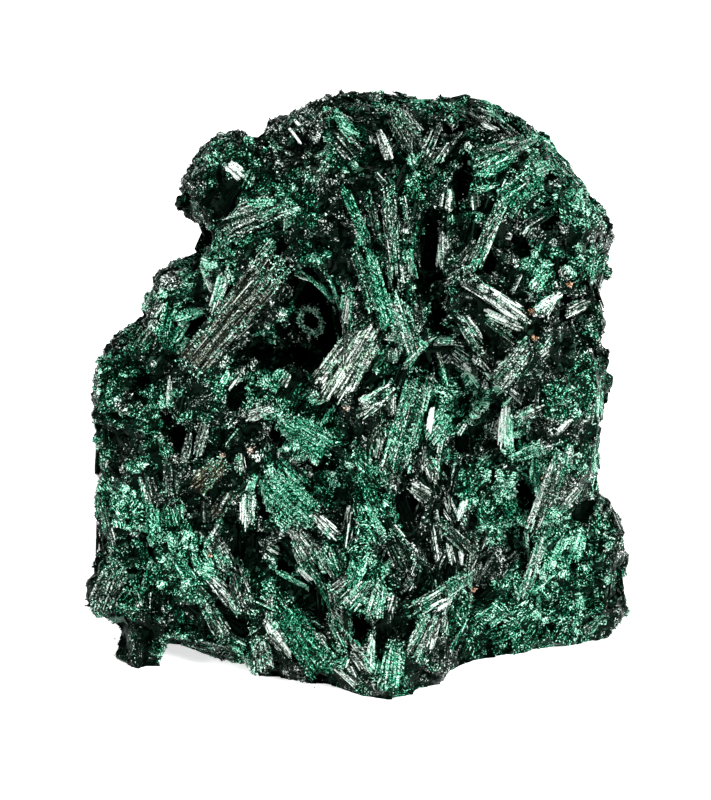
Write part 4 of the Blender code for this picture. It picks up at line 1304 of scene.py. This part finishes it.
stalk_middles = placed(stalk_uv, ring_depth + stalk * RING_OUT * MM)
cluster(ring, stalk_middles, STALK_SPREAD, STALK_TONE, STALK_GREEN, 0.0, ring_random)
pieces += [crumbs.piece(), ring.piece()]

# %% [markdown]
# ## One mineral, one finish
#
# Everything here is the same mineral. What changes from crystal to crystal is how light it looks
# and how green or rusty it is, and these are stored on the mesh; how light it looks also carries
# painted shade in the hollows and painted glints. The finish turns them into colour, breaks them up
# with noise as fine as the fibres are thick, partly grain and partly painted glints, and stays
# glassy all over.

# %% Material
mineral = bpy.data.materials.new("brochantite")
mineral.use_nodes = True
nodes, links = mineral.node_tree.nodes, mineral.node_tree.links
shader = nodes["Principled BSDF"]
GLASSY = {
    "IOR": 1.6,
    "Specular IOR Level": 0.05,
    "Specular Tint": (0.35, 1.0, 0.65, 1),
    "Roughness": 0.3,
}
for socket, value in GLASSY.items():
    shader.inputs[socket].default_value = value


def looks_of(name):
    """A number stored on the mesh."""
    node = nodes.new("ShaderNodeAttribute")
    node.attribute_name = name
    return node.outputs["Fac"]


def fine_noise(spacing, detail, place=None):
    """Noise with lumps about spacing millimetres apart, fixed to the stone."""
    node = nodes.new("ShaderNodeTexNoise")
    node.inputs["Scale"].default_value = 1 / (spacing * MM)
    node.inputs["Detail"].default_value = detail
    links.new(place or stone_place, node.inputs["Vector"])
    return node.outputs["Fac"]


def worked(kind, operation, values):
    """A node of arithmetic with its inputs set, or joined to the outputs of other nodes."""
    node = nodes.new(kind)
    node.operation = operation
    for socket, value in zip(node.inputs, values):
        if isinstance(value, (int, float, tuple)):
            socket.default_value = value
        else:
            links.new(value, socket)
    return node


def sums(operation, *values):
    """One step of arithmetic on numbers."""
    return worked("ShaderNodeMath", operation, values).outputs["Value"]


def vectors(operation, *values):
    """One step of arithmetic on vectors."""
    node = worked("ShaderNodeVectorMath", operation, values)
    return node.outputs["Value" if operation == "DOT_PRODUCT" else "Vector"]


def squeezed_along_cells(spacing, squeeze):
    """Places drawn together along one direction, a different one in each cell of the stone."""
    cells = nodes.new("ShaderNodeTexVoronoi")
    cells.inputs["Scale"].default_value = 1 / (spacing * MM)
    links.new(stone_place, cells.inputs["Vector"])
    heading = vectors("NORMALIZE", vectors("SUBTRACT", cells.outputs["Color"], (0.5, 0.5, 0.5)))
    along = sums("MULTIPLY", vectors("DOT_PRODUCT", stone_place, heading), squeeze)
    drawn_in = nodes.new("ShaderNodeVectorMath")
    drawn_in.operation = "SCALE"
    links.new(heading, drawn_in.inputs[0])
    links.new(along, drawn_in.inputs["Scale"])
    return vectors("SUBTRACT", stone_place, drawn_in.outputs["Vector"])


def swing(noise, strength):
    """Noise made to swing as far below nought as above it."""
    return sums("MULTIPLY", sums("SUBTRACT", noise, 0.5), strength)


def ramp(value, stops):
    """Colours at marks from 0 to 1."""
    node = nodes.new("ShaderNodeValToRGB")
    links.new(value, node.inputs["Fac"])
    marks = node.color_ramp.elements
    while len(marks) < len(stops):
        marks.new(0.5)
    for mark, (place, colour) in zip(marks, stops):
        mark.position = place
        mark.color = (*colour, 1)
    return node.outputs["Color"]


def blended(factor, first, second):
    """The first colour, going over to the second where the factor is high."""
    node = nodes.new("ShaderNodeMix")
    node.data_type = "RGBA"
    links.new(factor, node.inputs["Factor"])
    links.new(first, node.inputs["A"])
    links.new(second, node.inputs["B"])
    return node.outputs["Result"]


BLACK, WHITE = (0, 0, 0), (1, 1, 1)
stone_place = nodes.new("ShaderNodeTexCoord").outputs["Object"]
speckle = fine_noise(0.24, 2.0)
dust = fine_noise(0.12, 1.0)
mottle = fine_noise(0.8, 2.0)
splinters = fine_noise(0.14, 1.0, squeezed_along_cells(1.5, 0.85))
# Fine speckle on the tone: partly grain, partly painted glints that stand in for light caught by tiny
# facets.
sparkle = sums("ADD", sums("ADD", swing(speckle, 0.5), swing(dust, 1.2)), swing(splinters, 2.0))
tone = sums("ADD", looks_of("tone"), sums("MULTIPLY", sparkle, looks_of("speckle_strength")))
green = sums("ADD", looks_of("green"), sums("ADD", swing(mottle, 0.8), swing(speckle, 0.25)))
rust = sums("ADD", looks_of("rust"), swing(mottle, 0.5))
clean_fibre = ramp(tone, (
    (0.41, (0.0001, 0.0008, 0.0004)),
    (0.46, (0.004, 0.013, 0.008)),
    (0.505, (0.050, 0.080, 0.062)),
    (0.575, (0.27, 0.33, 0.29)),
    (0.68, (0.77, 0.86, 0.80)),
    (0.85, (0.92, 1.00, 0.97)),
))
emerald_crust = ramp(tone, (
    (0.365, (0.0001, 0.0012, 0.0004)),
    (0.415, (0.0003, 0.022, 0.009)),
    (0.465, (0.001, 0.125, 0.060)),
    (0.55, (0.028, 0.34, 0.185)),
    (0.67, (0.25, 0.68, 0.47)),
    (0.80, (0.72, 0.97, 0.85)),
))
iron_stain = ramp(tone, (
    (0.20, (0.002, 0.0015, 0.001)),
    (0.45, (0.05, 0.028, 0.018)),
    (0.65, (0.42, 0.20, 0.11)),
    (0.90, (0.88, 0.62, 0.42)),
))
greener = ramp(green, ((0.25, BLACK), (0.6, WHITE)))
rustier = ramp(rust, ((0.25, BLACK), (0.75, WHITE)))
colour = blended(rustier, blended(greener, clean_fibre, emerald_crust), iron_stain)
links.new(colour, shader.inputs["Base Color"])

bump = nodes.new("ShaderNodeBump")
bump.inputs["Strength"].default_value = 0.5
bump.inputs["Distance"].default_value = 0.04 * MM
links.new(dust, bump.inputs["Height"])
links.new(bump.outputs["Normal"], shader.inputs["Normal"])

# %% Tone of the body
# The middle of the body's tone, how noise moves it, and over what distance in millimetres. It is
# nearly black: partly the body's own dark colour, partly painted shade in the gaps between the
# crystals on it.
BODY_TONE = 0.17
BODY_SWING = (0.1, 0.9)

body_outward = unit(smoothed(normals, edges, 2))
body_tone = BODY_TONE + BODY_SWING[0] * smooth_noise(points, BODY_SWING[1], 31)
# Painted shade in the hollows is taken off, and the painted light and shade of the listed places added.
body_tone = body_tone - shade + tone_and_light_lift(points, body_outward)
body_green = greenness(points, body_outward)
set_looks(body_mesh, body_tone, body_green, np.zeros(len(points)), crust_speckle(body_green))
print("tone of the body, mean:", round(float(body_tone.mean()), 2))

# %% Everything rides on the one body
for piece in pieces:
    piece.data.materials.clear()
    piece.data.materials.append(mineral)
    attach(piece, "root")
    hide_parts(NODE)
all_faces = [face for piece in pieces for face in piece.data.polygons]
print("triangles in all:", sum(len(face.vertices) - 2 for face in all_faces))
